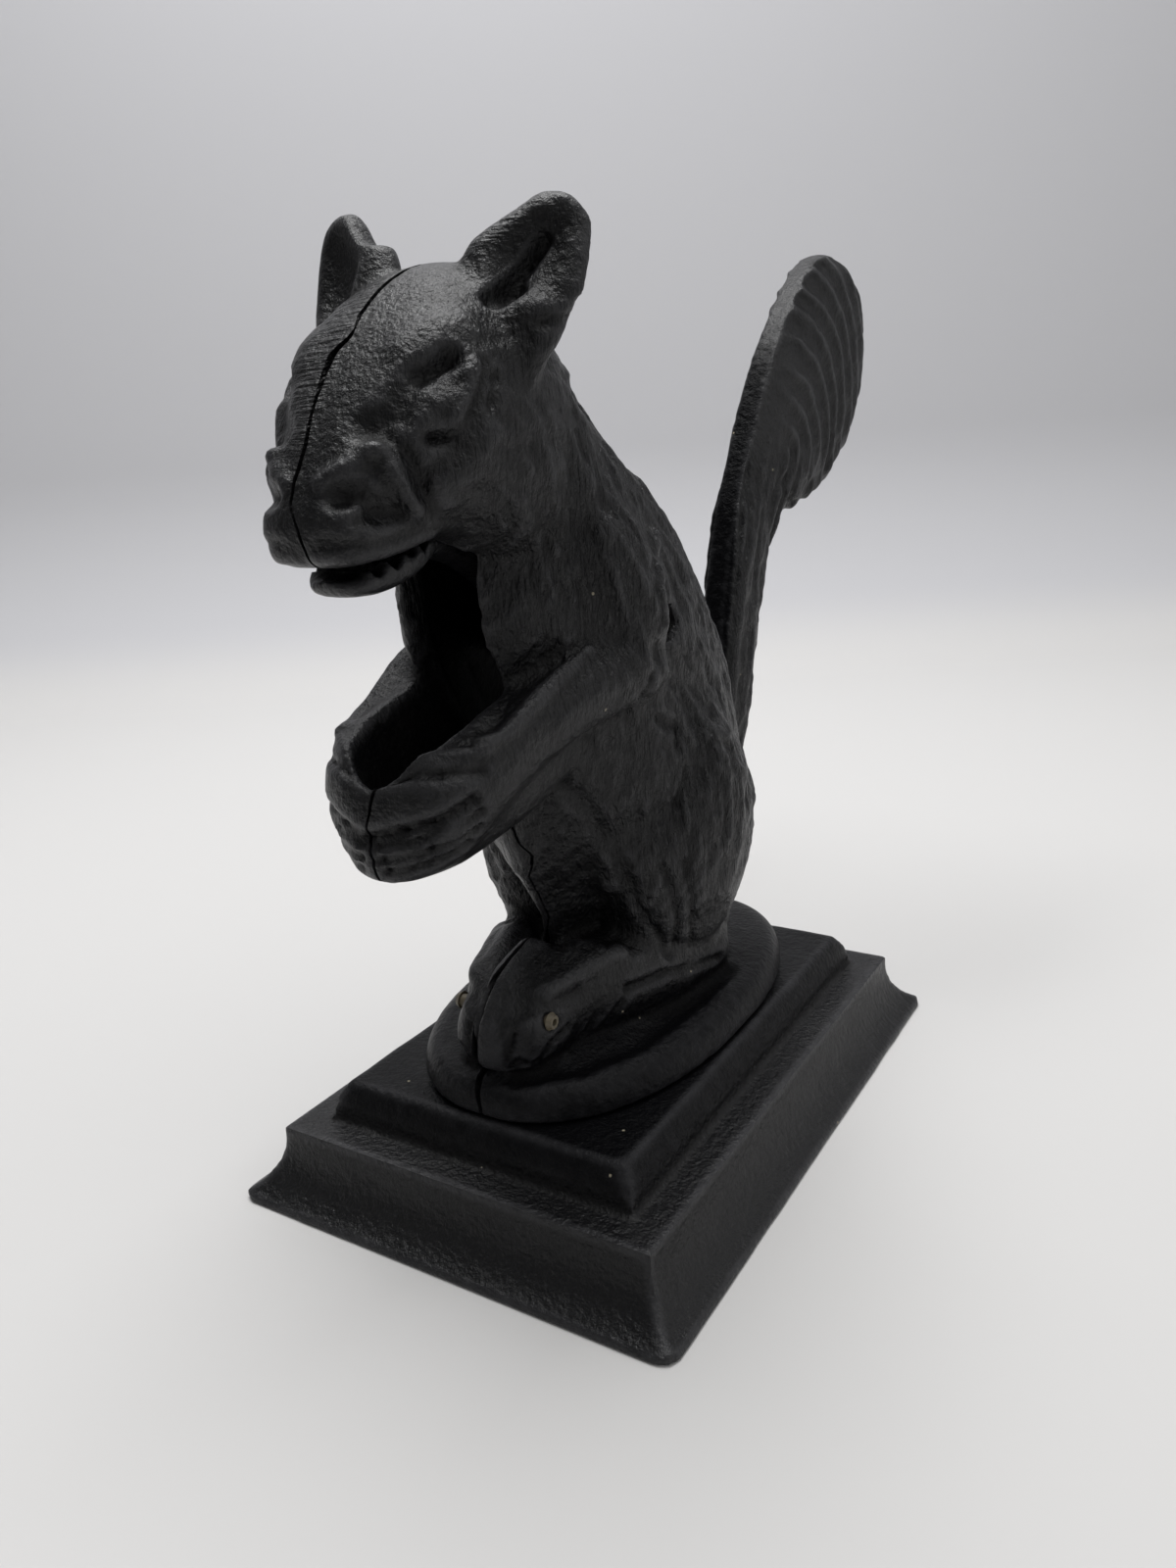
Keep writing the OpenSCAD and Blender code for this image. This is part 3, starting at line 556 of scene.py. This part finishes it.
def fur_height(points, depth):
    """Strands of fur along the guides, with a pebbly breadth between them."""
    curl, curl_size = 0.38, 9.0  # how much and how widely strands wander off the guides' way
    tallest = 2.2  # strands are capped at this many times their spread
    pebbles, pebble = 0.15, 1.6  # share of the depth and width of the grain between strands
    side = np.sign(points[:, :1]) + (points[:, :1] == 0)
    spots = points * np.hstack([side, np.ones((len(points), 2))])
    way = np.zeros_like(points)
    strength = np.zeros(len(points))
    total = np.zeros(len(points))
    for _, place, direction, deep in FUR:
        near = np.exp(-((spots - place) ** 2).sum(1) / (2 * FUR_REACH**2)) + 1e-9
        way += near[:, None] * (np.array(direction) / np.linalg.norm(direction))
        strength += near * deep
        total += near
    strength /= total
    wander = np.stack([value_noise(points, curl_size, seed) for seed in (1, 2, 3)], axis=1)
    way = way / total[:, None] + wander * curl
    way /= np.linalg.norm(way, axis=1).clip(1e-6)[:, None]
    height = np.zeros(len(points))
    for cell, reach, share, seed in STRANDS:
        # Samples closer than half a cell keep the strands from breaking up into beads
        strand = strand_noise(points, way, cell, reach, seed, int(4.5 * reach / cell))
        height += share * np.clip(strand, -tallest, tallest) / 2
    height += pebbles * value_noise(points, pebble, 21)
    return height * strength * depth, strength


def marks(piece, points, edges, seen):
    """Writes into the attributes where the paint is worn, dulled or filed, where dust lies and
    where shade is painted.
    """
    full_crest = 0.22  # mm over the smoothed skin that make a crest or a hollow a full one
    mesh = piece.data
    normals = get_normals(mesh)
    soft = points
    for _ in range(5):
        soft = averaged(soft, edges)
    bulge = ((points - soft) * normals).sum(1)
    x, y, z = points.T
    # Painted shade dulls the tail's front, turned from the light; a low band dulls mound, feet and
    # deck
    painted_shade_on_tail_front = smooth_step(0.5, 0.8, -normals[:, 1]) * smooth_step(40, 55, y)
    low_dull_band = (1 - smooth_step(34, 44, z)) * smooth_step(14, 20, z) * 0.8
    dull = np.maximum(painted_shade_on_tail_front * (1 - smooth_step(160, 178, z)), low_dull_band)
    # The file ran over the brow beside the seam and over the front of the left ear
    brow = smooth_step(-11, -8, x) * (1 - smooth_step(-3, 0.5, x))
    brow = brow * (1 - smooth_step(-53, -46, y)) * smooth_step(144, 150, z)
    ear = smooth_step(173, 177, z) * smooth_step(7, 10, x) * (1 - smooth_step(-44, -41, y))
    put_attribute(mesh, "dull", dull)
    put_attribute(mesh, "filed", brow + ear)
    put_attribute(mesh, "crest", np.clip(bulge / full_crest, 0, 1))
    # Dust in the creases, and painted shade where the skin sees little of the room
    hollow = np.clip(-bulge / full_crest, 0, 1) * 0.6 + np.clip(0.7 - seen, 0, 1)
    put_attribute(mesh, "recess", hollow)


def shade(mesh, edge_angle=48):
    """Smooth shading, with edges kept where the skin turns sharply."""
    mesh.shade_smooth()
    mesh.set_sharp_from_angle(angle=math.radians(edge_angle))


def within(piece):
    """Keeps the piece inside the box of the CAD model."""
    points = get_points(piece.data)
    low, high = (np.array(corner) / MM + (0, MID_Y, 0) for corner in CAD_BOX)
    put_points(piece.data, np.clip(points, low, high))


def finish_piece(piece, body, slot, material, *nodes):
    """Trims, shades and paints a sculpted piece, which then stands for its CAD nodes."""
    within(piece)
    shade(piece.data)
    coat(piece, material)
    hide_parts(*nodes)
    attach(piece, body)


# ---- finishes


def coat(piece, material):
    piece.data.materials.clear()
    piece.data.materials.append(material)


def new_finish(name):
    """A material with its node tree and its Principled shader."""
    material = bpy.data.materials.new(name)
    material.use_nodes = True
    tree = material.node_tree
    return material, tree, tree.nodes["Principled BSDF"]


def painted_iron():
    """Sand-cast iron in satin black paint: pebbly grain, grey crests, dust and painted shade in the
    hollows.
    """
    name = "satin_black_paint_on_sand_cast_iron"
    if name in bpy.data.materials:
        return bpy.data.materials[name]
    finish = bpy.context.scene.nutcracker_finish
    material, tree, shader = new_finish(name)
    place = add_node(tree, "ShaderNodeTexCoord").outputs["Object"]
    fur, crest, recess, dull, filed = (
        add_node(tree, "ShaderNodeAttribute", attribute_name=layer).outputs["Fac"]
        for layer in ("fur", "crest", "recess", "dull", "filed")
    )

    # Wear is broken up by blotches of about 5 mm
    blotches = add_node(
        tree,
        "ShaderNodeTexNoise",
        {"Scale": 1 / (5 * MM), "Detail": 6.0, "Roughness": 0.65},
        {"Vector": place},
    ).outputs["Fac"]
    broken = add_node(tree, "ShaderNodeMath", links={0: crest, 1: blotches}, operation="MULTIPLY")
    worn = add_node(
        tree,
        "ShaderNodeMapRange",
        {"From Min": 0.12, "From Max": 0.6},
        {"Value": broken.outputs[0]},
    ).outputs["Result"]
    # Dust and painted shade of the hollows: a dust colour, more roughness and less shine
    dust_and_shade = add_node(
        tree,
        "ShaderNodeMapRange",
        {"From Min": 0.35, "From Max": 1.1, "To Max": 0.7},
        {"Value": recess},
    ).outputs["Result"]
    painted = add_node(
        tree,
        "ShaderNodeMix",
        {COLOUR_A: finish.paint, COLOUR_B: finish.dust},
        {"Factor": dust_and_shade},
        data_type="RGBA",
    ).outputs[MIXED]
    handled = add_node(
        tree,
        "ShaderNodeMix",
        {COLOUR_B: finish.worn},
        {"Factor": worn, COLOUR_A: painted},
        data_type="RGBA",
    ).outputs[MIXED]
    # A few specks of cream paint, up to 0.6 mm wide and about 9 mm apart
    apart, speck_radius = 9, 0.288
    specks = add_node(
        tree,
        "ShaderNodeTexVoronoi",
        {"Scale": 1 / (apart * MM), "Randomness": 1.0},
        {"Vector": place},
    )
    dot = add_node(
        tree,
        "ShaderNodeMath",
        {1: speck_radius / apart},
        {0: specks.outputs["Distance"]},
        operation="LESS_THAN",
    ).outputs[0]
    speckled = add_node(
        tree,
        "ShaderNodeMix",
        {COLOUR_B: linear("#8f8877")},
        {"Factor": dot, COLOUR_A: handled},
        data_type="RGBA",
    )
    tree.links.new(speckled.outputs[MIXED], shader.inputs["Base Color"])

    # The paint's satin varies with the blotches, and dust roughens the hollows
    satin = add_node(
        tree,
        "ShaderNodeMapRange",
        {"From Min": 0.3, "From Max": 0.7, "To Min": 0.3, "To Max": 0.43},
        {"Value": blotches},
    ).outputs["Result"]
    dust = add_node(tree, "ShaderNodeMath", links={0: dust_and_shade, 1: satin}, operation="MULTIPLY")
    rough = add_node(tree, "ShaderNodeMath", links={0: satin, 1: dust.outputs[0]}, operation="ADD")
    tree.links.new(rough.outputs[0], shader.inputs["Roughness"])
    # Dust and painted shade dull the hollows, painted shade the tail's front, a low band mound and
    # deck
    matt = add_node(tree, "ShaderNodeMath", links={0: dull, 1: dust_and_shade}, operation="ADD")
    shine = add_node(
        tree, "ShaderNodeMapRange", {"To Min": 0.32, "To Max": 0.04}, {"Value": matt.outputs[0]}
    )
    tree.links.new(shine.outputs["Result"], shader.inputs["Specular IOR Level"])

    roughcast = add_grain(tree, place)
    marked = add_file_marks(tree, place, filed, roughcast)
    tree.links.new(add_hair(tree, place, fur, marked), shader.inputs["Normal"])
    return material


def add_grain(tree, place):
    """Grain left by the moulding sand, drawn at 1.3 mm, as coarse as it needs to show."""
    grain = add_node(
        tree,
        "ShaderNodeTexNoise",
        {"Scale": 1 / (1.3 * MM), "Detail": 4.0, "Roughness": 0.6},
        {"Vector": place},
    )
    return add_node(
        tree,
        "ShaderNodeBump",
        {"Strength": 1.0, "Distance": 0.5 * MM},
        {"Height": grain.outputs["Fac"]},
    ).outputs["Normal"]


def add_file_marks(tree, place, filed, under):
    """Fine straight marks that a file left where it trimmed the castings."""
    level = add_node(tree, "ShaderNodeMapping", {"Scale": (0.06, 0.5, 1)}, {"Vector": place})
    scratches = add_node(
        tree,
        "ShaderNodeTexNoise",
        {"Scale": 1 / (0.55 * MM), "Detail": 2.0},
        {"Vector": level.outputs["Vector"]},
    )
    cut = add_node(
        tree, "ShaderNodeMath", links={0: scratches.outputs["Fac"], 1: filed}, operation="MULTIPLY"
    )
    return add_node(
        tree,
        "ShaderNodeBump",
        {"Strength": 1.0, "Distance": 0.6 * MM},
        {"Height": cut.outputs[0], "Normal": under},
    ).outputs["Normal"]


def add_hair(tree, place, fur, under):
    """Fine strands of about 1 mm, four times as long as wide, that lean back down the body."""
    lean = add_node(
        tree,
        "ShaderNodeMapping",
        {"Rotation": (math.radians(-18), 0, 0), "Scale": (1, 1, 0.24)},
        {"Vector": place},
    )
    strands = add_node(
        tree,
        "ShaderNodeTexNoise",
        {"Scale": 1 / (0.95 * MM), "Detail": 3.0, "Roughness": 0.55, "Distortion": 0.8},
        {"Vector": lean.outputs["Vector"]},
    )
    combed = add_node(
        tree, "ShaderNodeMath", links={0: strands.outputs["Fac"], 1: fur}, operation="MULTIPLY"
    )
    return add_node(
        tree,
        "ShaderNodeBump",
        {"Strength": 1.0, "Distance": 1.5 * MM},
        {"Height": combed.outputs[0], "Normal": under},
    ).outputs["Normal"]


def dull_steel():
    """Turned mild steel, dulled by handling: dowels, screws and washers."""
    material, tree, shader = new_finish("dull_turned_steel")
    shader.inputs["Base Color"].default_value = linear("#8b8a86")
    shader.inputs["Metallic"].default_value = 1.0
    place = add_node(tree, "ShaderNodeTexCoord").outputs["Object"]
    smudges = add_node(
        tree, "ShaderNodeTexNoise", {"Scale": 1 / (2 * MM), "Detail": 3.0}, {"Vector": place}
    ).outputs["Fac"]
    rough = add_node(
        tree, "ShaderNodeMapRange", {"To Min": 0.35, "To Max": 0.55}, {"Value": smudges}
    )
    tree.links.new(rough.outputs["Result"], shader.inputs["Roughness"])
    return material


def rubbed_rivet():
    """The steel rivet's rolled rim, its paint rubbed off to a dirty yellowish grey."""
    material, tree, shader = new_finish("rubbed_steel_rivet")
    shader.inputs["Roughness"].default_value = 0.55
    place = add_node(tree, "ShaderNodeTexCoord").outputs["Object"]
    rubs = add_node(
        tree, "ShaderNodeTexNoise", {"Scale": 1 / (1.2 * MM), "Detail": 3.0}, {"Vector": place}
    )
    bared = add_node(
        tree,
        "ShaderNodeMix",
        {COLOUR_A: linear("#3c3833"), COLOUR_B: linear("#776d57")},
        {"Factor": rubs.outputs["Fac"]},
        data_type="RGBA",
    )
    tree.links.new(bared.outputs[MIXED], shader.inputs["Base Color"])
    return material


# ---- stage


def white_laminate():
    """Matt white laminate of the table, going over into the grey painted wall with its height."""
    look = bpy.context.scene.nutcracker_stage
    material, tree, shader = new_finish("matt_white_laminate")
    shader.inputs["Roughness"].default_value = 0.9
    shader.inputs["Specular IOR Level"].default_value = 0.1
    place = add_node(tree, "ShaderNodeTexCoord").outputs["Object"]
    height = add_node(tree, "ShaderNodeSeparateXYZ", links={"Vector": place}).outputs["Z"]
    wall_share = add_node(
        tree,
        "ShaderNodeMapRange",
        {"From Min": 0.0, "From Max": 40 * MM, "To Min": 0.0, "To Max": 1.0},
        {"Value": height},
        interpolation_type="SMOOTHSTEP",
    ).outputs["Result"]
    surface = add_node(
        tree,
        "ShaderNodeMix",
        {COLOUR_A: look.table, COLOUR_B: look.wall},
        {"Factor": wall_share},
        data_type="RGBA",
    )
    tree.links.new(surface.outputs[MIXED], shader.inputs["Base Color"])
    return material


def add_camera():
    """The camera where the photograph was taken, in front of the squirrel and to its left."""
    camera = bpy.data.cameras.new("camera")
    camera.sensor_fit = "VERTICAL"
    camera.sensor_height = 36.0
    camera.lens = 26.55
    holder = bpy.data.objects.new("camera", camera)
    back = Vector(CAMERA_BACK).normalized()
    up = back.cross(Vector(CAMERA_RIGHT).normalized()).normalized()
    turn = Matrix((up.cross(back), up, back)).transposed().to_4x4()
    x, y, z = CAMERA_PLACE
    holder.matrix_world = Matrix.Translation((x, y - MID_Y * MM, z)) @ turn
    bpy.context.scene.collection.objects.link(holder)
    bpy.context.scene.camera = holder


def add_sweep():
    """Table and wall in one sweep, with a soft bend between them, square to the camera."""
    front, depth, bend, height, half_width = -0.55, 0.56, 0.14, 2.5, 1.4
    steps = 12
    profile = [(front, 0.0), (depth - bend, 0.0)]
    for i in range(1, steps + 1):
        a = math.radians(90 * i / steps)
        profile.append((depth - bend + bend * math.sin(a), bend * (1 - math.cos(a))))
    profile.append((depth, height))
    turned = Matrix.Rotation(math.radians(32), 3, "Z")
    verts = [turned @ Vector((x, y, z)) for y, z in profile for x in (-half_width, half_width)]
    faces = [(2 * i, 2 * i + 1, 2 * i + 3, 2 * i + 2) for i in range(len(profile) - 1)]
    mesh = bpy.data.meshes.new("table_and_wall")
    mesh.from_pydata(verts, [], faces)
    mesh.shade_smooth()
    sweep = link_object("table_and_wall", mesh)
    coat(sweep, white_laminate())


def add_lamp(power):
    """One wide soft lamp overhead."""
    lamp = bpy.data.lights.new("ceiling_lamp", "AREA")
    lamp.shape = "RECTANGLE"
    lamp.size, lamp.size_y = 0.7, 0.55
    lamp.energy = power
    above = bpy.data.objects.new("ceiling_lamp", lamp)
    above.location = (-0.12, 0.08, 0.95)
    bpy.context.scene.collection.objects.link(above)


def add_room(strength):
    """Even white light of the room, brightest from above, behind and the squirrel's left."""
    brightest, dimmest = (0.3, 0.45, 0.84), 0.11  # way to the bright end and the dim end's share
    world = bpy.data.worlds.new("room")
    bpy.context.scene.world = world
    world.use_nodes = True
    tree = world.node_tree
    toward = add_node(
        tree,
        "ShaderNodeVectorMath",
        {1: brightest},
        {0: add_node(tree, "ShaderNodeTexCoord").outputs["Generated"]},
        operation="DOT_PRODUCT",
    )
    bright = add_node(
        tree,
        "ShaderNodeMapRange",
        {"From Min": -0.15, "From Max": 0.95, "To Min": dimmest * strength, "To Max": strength},
        {"Value": toward.outputs["Value"]},
        interpolation_type="SMOOTHSTEP",
    )
    # Beyond the wall's edges the camera sees the same pale grey
    lit = add_node(
        tree,
        "ShaderNodeMix",
        {"B": 0.6},
        {
            "Factor": add_node(tree, "ShaderNodeLightPath").outputs["Is Camera Ray"],
            "A": bright.outputs["Result"],
        },
    )
    sky = tree.nodes["Background"]
    sky.inputs["Color"].default_value = (1, 1, 1, 1)
    tree.links.new(lit.outputs["Result"], sky.inputs["Strength"])


class NUTCRACKER_OT_stage(bpy.types.Operator):
    """Set the camera, the lamp, the room's light, the table and the wall"""

    bl_idname = "nutcracker.stage"
    bl_label = "Stage"

    def execute(self, context):
        look = context.scene.nutcracker_stage
        add_camera()
        add_sweep()
        add_lamp(look.lamp)
        add_room(look.room)
        context.scene.view_settings.view_transform = "Standard"
        return {"FINISHED"}


# ---- pieces


def by_height(table, points):
    """Reads a table of heights and values at the height of each point."""
    return np.interp(points[:, 2], *zip(*table))


def seam_shift(points):
    """How far the seam lies to the left of the middle at each point, less on the back."""
    return by_height(SEAM, points) * (1 - smooth_step(-15, 12, points[:, 1]) * 0.7)


def split_half(piece, name, side):
    """Cuts one half off the whole figure along the wandering seam, then closes and gaps the cut."""
    gap_reach, jag, jag_size = 1.2, 0.09, 3.0  # how far the gap is felt, and its rough edge
    mesh = piece.data.copy()
    mesh.name = name
    points = get_points(mesh)
    points[:, 0] -= seam_shift(points)
    put_points(mesh, points)
    cut = bmesh.new()
    cut.from_mesh(mesh)
    found = bmesh.ops.bisect_plane(
        cut,
        geom=cut.verts[:] + cut.edges[:] + cut.faces[:],
        plane_co=(0, 0, 0),
        plane_no=(side, 0, 0),
        clear_inner=True,
    )
    rim = [e for e in found["geom_cut"] if isinstance(e, bmesh.types.BMEdge)]
    bmesh.ops.triangle_fill(cut, edges=rim, use_beauty=False, use_dissolve=False)
    bmesh.ops.recalc_face_normals(cut, faces=cut.faces)
    cut.to_mesh(mesh)
    cut.free()
    points = get_points(mesh)
    gap = by_height(GAPE, points) * (1 - smooth_step(-10, 12, points[:, 1]) * 0.4)
    gap = gap + jag * value_noise(points, jag_size, 5)
    points[:, 0] += side * gap * np.exp(-np.abs(points[:, 0]) / gap_reach)
    points[:, 0] += seam_shift(points)
    put_points(mesh, points)
    return link_object(name, mesh)


class NUTCRACKER_OT_figure(bpy.types.Operator):
    """Sculpt the squirrel's two halves"""

    bl_idname = "nutcracker.figure"
    bl_label = "Squirrel's halves"

    def execute(self, context):
        casting = context.scene.nutcracker_casting
        halves = ("left_half", "right_half")
        spacing = skin_spacing(1)
        whole = voxel_skin("squirrel", halves, spacing, overlap=0.3)
        mesh = whole.data
        points = get_points(mesh)
        edges = get_edges(mesh)
        seen = openness(whole, points)
        outer = smooth_step(0.16, 0.3, seen)
        y, z = points[:, 1], points[:, 2]
        hole = np.hypot(y - PIVOT[0], z - PIVOT[1]) < PIN_BOSS

        # The skin is relaxed, less on the thin ears and inside, then bores and seats are put back
        thin = smooth_step(168, 176, z) * smooth_step(-52, -47, y)
        keep = (1 - 0.55 * thin) * (0.25 + 0.75 * outer) * np.where(hole, 0.1, 1)
        points = relax(points, edges, relax_rounds(26, 0.66, spacing, 4), keep)
        snap_back(points, (seen < 0.14) | hole, halves)
        put_points(mesh, points)

        normals = get_normals(mesh)
        for _, height, radius, path in STROKES:
            stroke(points, normals, height, radius, path)
            stroke(points, normals, height * FAR_STROKES, radius, path, side=-1)
        for _, height, radius, path in EAR_STROKES:
            stroke(points, normals, height, radius, path)
        for _, middle, reach, move in PULLS:
            push(points, middle, reach, move)
        put_points(mesh, points)
        points = relax(points, edges, 1, outer * 0.5)
        put_points(mesh, points)

        height, strength = fur_height(points, casting.fur / MM)
        points += get_normals(mesh) * (height * outer)[:, None]
        points[:, 2] = np.maximum(points[:, 2], DECK_Z)
        put_points(mesh, points)
        put_attribute(mesh, "fur", strength * outer)
        marks(whole, points, edges, seen)
        for name, side in zip(halves, (1, -1)):
            half = split_half(whole, "sculpted_" + name, side)
            finish_piece(half, "stand", "black_iron", painted_iron(), name)
        bpy.data.objects.remove(whole)
        return {"FINISHED"}


def toothed(material):
    """Geometry nodes that set a row of pointed teeth along each rim of the jaw."""
    tree = bpy.data.node_groups.new("jaw_teeth", "GeometryNodeTree")
    sockets = {}
    for name, kind in (("Geometry", "Geometry"), ("Teeth", "Int"), ("Height", "Float")):
        socket = tree.interface.new_socket(name, in_out="INPUT", socket_type="NodeSocket" + kind)
        sockets[name] = socket.identifier
    tree.interface.new_socket("Geometry", in_out="OUTPUT", socket_type="NodeSocketGeometry")
    given = add_node(tree, "NodeGroupInput").outputs
    corners = zip(("Start", "Middle", "End"), JAW_RIM)
    rim = add_node(
        tree,
        "GeometryNodeCurveQuadraticBezier",
        {key: Vector((x, y - MID_Y, z)) * MM for key, (x, y, z) in corners},
    )
    row = add_node(
        tree, "GeometryNodeResampleCurve", links={"Curve": rim.outputs[0], "Count": given["Teeth"]}
    )
    tooth = add_node(
        tree,
        "GeometryNodeMeshCone",
        {"Vertices": 8, "Radius Top": 0.15 * MM, "Radius Bottom": 1.15 * MM},
        {"Depth": given["Height"]},
    )
    placed = add_node(
        tree,
        "GeometryNodeInstanceOnPoints",
        {"Scale": (0.75, 1, 1)},
        {"Points": row.outputs[0], "Instance": tooth.outputs["Mesh"]},
    )
    real = add_node(tree, "GeometryNodeRealizeInstances", links={"Geometry": placed.outputs[0]})
    other = add_node(
        tree, "GeometryNodeTransform", {"Scale": (-1, 1, 1)}, {"Geometry": real.outputs[0]}
    )
    turned = add_node(tree, "GeometryNodeFlipFaces", links={"Mesh": other.outputs[0]})
    both = add_node(tree, "GeometryNodeJoinGeometry")
    for part in (turned.outputs[0], real.outputs[0], given["Geometry"]):
        tree.links.new(part, both.inputs[0])
    painted = add_node(tree, "GeometryNodeSetMaterial", links={"Geometry": both.outputs[0]})
    painted.inputs["Material"].default_value = material
    add_node(tree, "NodeGroupOutput", links={0: painted.outputs[0]})
    return tree, sockets


def plume_ridges(points, normals, height):
    """Curved ridges round the plume's middle, on its sides alone."""
    sunk = 0.35  # share of a ridge that lies below the skin
    y, z = points[:, 1], points[:, 2]
    (middle_y, middle_z), (back, up) = PLUME_MIDDLE, PLUME_WAY
    along = (y - middle_y) * back + (z - middle_z) * up
    across = (y - middle_y) * up - (z - middle_z) * back
    wobble = 0.35 * value_noise(points, 14.0, 31) + 0.12 * value_noise(points, 5.0, 32)
    ring = np.hypot(along / PLUME_RADII[0], across / PLUME_RADII[1]) + wobble
    ridge = (0.5 + 0.5 * np.cos(2 * np.pi * ring)) ** 1.5 - sunk
    sides = smooth_step(0.6, 0.9, np.abs(normals[:, 0]))
    return height * ridge * (sides * smooth_step(120, 138, z) * smooth_step(-6, 3, across))


class NUTCRACKER_OT_tail(bpy.types.Operator):
    """Sculpt the tail lever with its ridged plume and toothed jaw"""

    bl_idname = "nutcracker.tail"
    bl_label = "Tail lever"

    def execute(self, context):
        casting = context.scene.nutcracker_casting
        spacing = skin_spacing(0.8)
        piece = voxel_skin("sculpted_tail_lever", ("tail_lever",), spacing)
        mesh = piece.data
        points = get_points(mesh)
        edges = get_edges(mesh)
        y = points[:, 1]
        outside = smooth_step(24, 34, y)  # the plume and the stem behind the body
        jaw = smooth_step(-50, -56, y)
        rounds = relax_rounds(22, 0.53, spacing, 3)
        points = relax(points, edges, rounds, outside + 0.12 * jaw)
        snap_back(points, (outside < 0.02) & (jaw < 0.02), ("tail_lever",))
        put_points(mesh, points)
        normals = get_normals(mesh)

        full = 1.3  # relaxing takes the tops off the ridges, so they start this much higher
        lift = plume_ridges(points, normals, casting.rings / MM * full)
        # Strands run down the stem and the lower plume
        flank = smooth_step(0.2, 0.6, np.abs(normals[:, 0]) + normals[:, 1])
        low = outside * (1 - smooth_step(128, 150, points[:, 2])) * flank
        way = np.array(STEM_WAY)
        strand = strand_noise(points, way, cell=2.2, reach=12, seed=41, samples=24)
        lift += 0.55 * np.clip(strand, -1.6, 1.6) * low
        lift += 0.12 * value_noise(points, 1.7, 42) * outside
        points += normals * lift[:, None]
        put_points(mesh, points)
        stroke(points, get_normals(mesh), *PLUME_NICK)
        put_points(mesh, points)
        points = relax(points, edges, 1, outside * 0.5)
        put_points(mesh, points)
        marks(piece, points, edges, np.ones(len(points)))
        put_attribute(mesh, "fur", low * 0.5)
        material = painted_iron()
        tree, sockets = toothed(material)
        teeth = piece.modifiers.new("teeth", "NODES")
        teeth.node_group = tree
        teeth[sockets["Teeth"]] = casting.teeth
        teeth[sockets["Height"]] = casting.tooth
        piece.data = baked(piece)
        finish_piece(piece, "lever", "black_iron", material, "tail_lever")
        return {"FINISHED"}


class NUTCRACKER_OT_base(bpy.types.Operator):
    """Sculpt the stepped base with its worn edges"""

    bl_idname = "nutcracker.base"
    bl_label = "Base"

    def execute(self, context):
        piece = voxel_skin("sculpted_base", ("base",), skin_spacing(1.2))
        mesh = piece.data
        points = get_points(mesh)
        edges = get_edges(mesh)
        everywhere = np.ones(len(points))
        snap_back(points, everywhere > 0, ("base",))
        points = relax(points, edges, 2, everywhere * 0.7)
        # Knocks have rounded the corners of the foot
        half_width, half_length = BASE_HALF
        for x in (-1, 1):
            for y in (-1, 1):
                corner = (x * half_width, y * half_length, 1)
                push(points, corner, 3.5, (-x * 0.9, -y * 0.7, 0.5))
        put_points(mesh, points)

        # Low lumps of the casting and a few dents, but none under the figure or in the hollow
        normals = get_normals(mesh)
        x, y, z = points.T
        outside = (np.abs(x) > 44) | (np.abs(y) > 64) | (z > 15)
        outside &= normals[:, 2] > -0.3
        outside &= (np.hypot(x / MOUND_RADII[0], y / MOUND_RADII[1]) >= 1.02) | (z <= 20)
        lift = 0.10 * value_noise(points, 8.0, 51) + 0.05 * value_noise(points, 3.0, 52)
        lift -= 0.25 * np.clip(value_noise(points, 4.0, 53) - 0.55, 0, 1)
        points += normals * (lift * outside)[:, None]
        points[:, 2] = np.minimum(points[:, 2], DECK_Z)
        put_points(mesh, points)
        marks(piece, points, edges, everywhere)
        finish_piece(piece, "stand", "black_iron", painted_iron(), "base")
        return {"FINISHED"}


class NUTCRACKER_OT_fixings(bpy.types.Operator):
    """Finish the pins, the rivet, the screws and the washers"""

    bl_idname = "nutcracker.fixings"
    bl_label = "Fixings"

    def execute(self, context):
        steel = dull_steel()
        special = {"pivot_pin": painted_iron(), "foot_rivet": rubbed_rivet()}
        for name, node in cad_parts.items():
            if name not in CASTINGS:
                coat(node, special.get(name, steel))
        return {"FINISHED"}


class NUTCRACKER_PT_panel(bpy.types.Panel):
    """Sizes, colours and steps of the nutcracker"""

    bl_label = "Nutcracker"
    bl_idname = "NUTCRACKER_PT_panel"
    bl_space_type = "VIEW_3D"
    bl_region_type = "UI"
    bl_category = "Nutcracker"

    def draw(self, context):
        layout = self.layout
        for group in SETTINGS:
            values = getattr(context.scene, group)
            box = layout.box()
            for name in values.__annotations__:
                box.prop(values, name)
        for step in STEPS:
            layout.operator(step.bl_idname)


SETTINGS = {
    "nutcracker_casting": CastingSettings,
    "nutcracker_finish": FinishSettings,
    "nutcracker_stage": StageSettings,
}
STEPS = (
    NUTCRACKER_OT_stage,
    NUTCRACKER_OT_figure,
    NUTCRACKER_OT_tail,
    NUTCRACKER_OT_base,
    NUTCRACKER_OT_fixings,
)
CLASSES = (*SETTINGS.values(), *STEPS, NUTCRACKER_PT_panel)


def register():
    for kind in CLASSES:
        bpy.utils.register_class(kind)
    for name, group in SETTINGS.items():
        setattr(bpy.types.Scene, name, PointerProperty(type=group))


def unregister():
    for name in SETTINGS:
        delattr(bpy.types.Scene, name)
    for kind in reversed(CLASSES):
        bpy.utils.unregister_class(kind)


def main():
    register()
    for step in STEPS:
        getattr(bpy.ops.nutcracker, step.bl_idname.split(".")[1])()


if __name__ == "__main__":
    main()
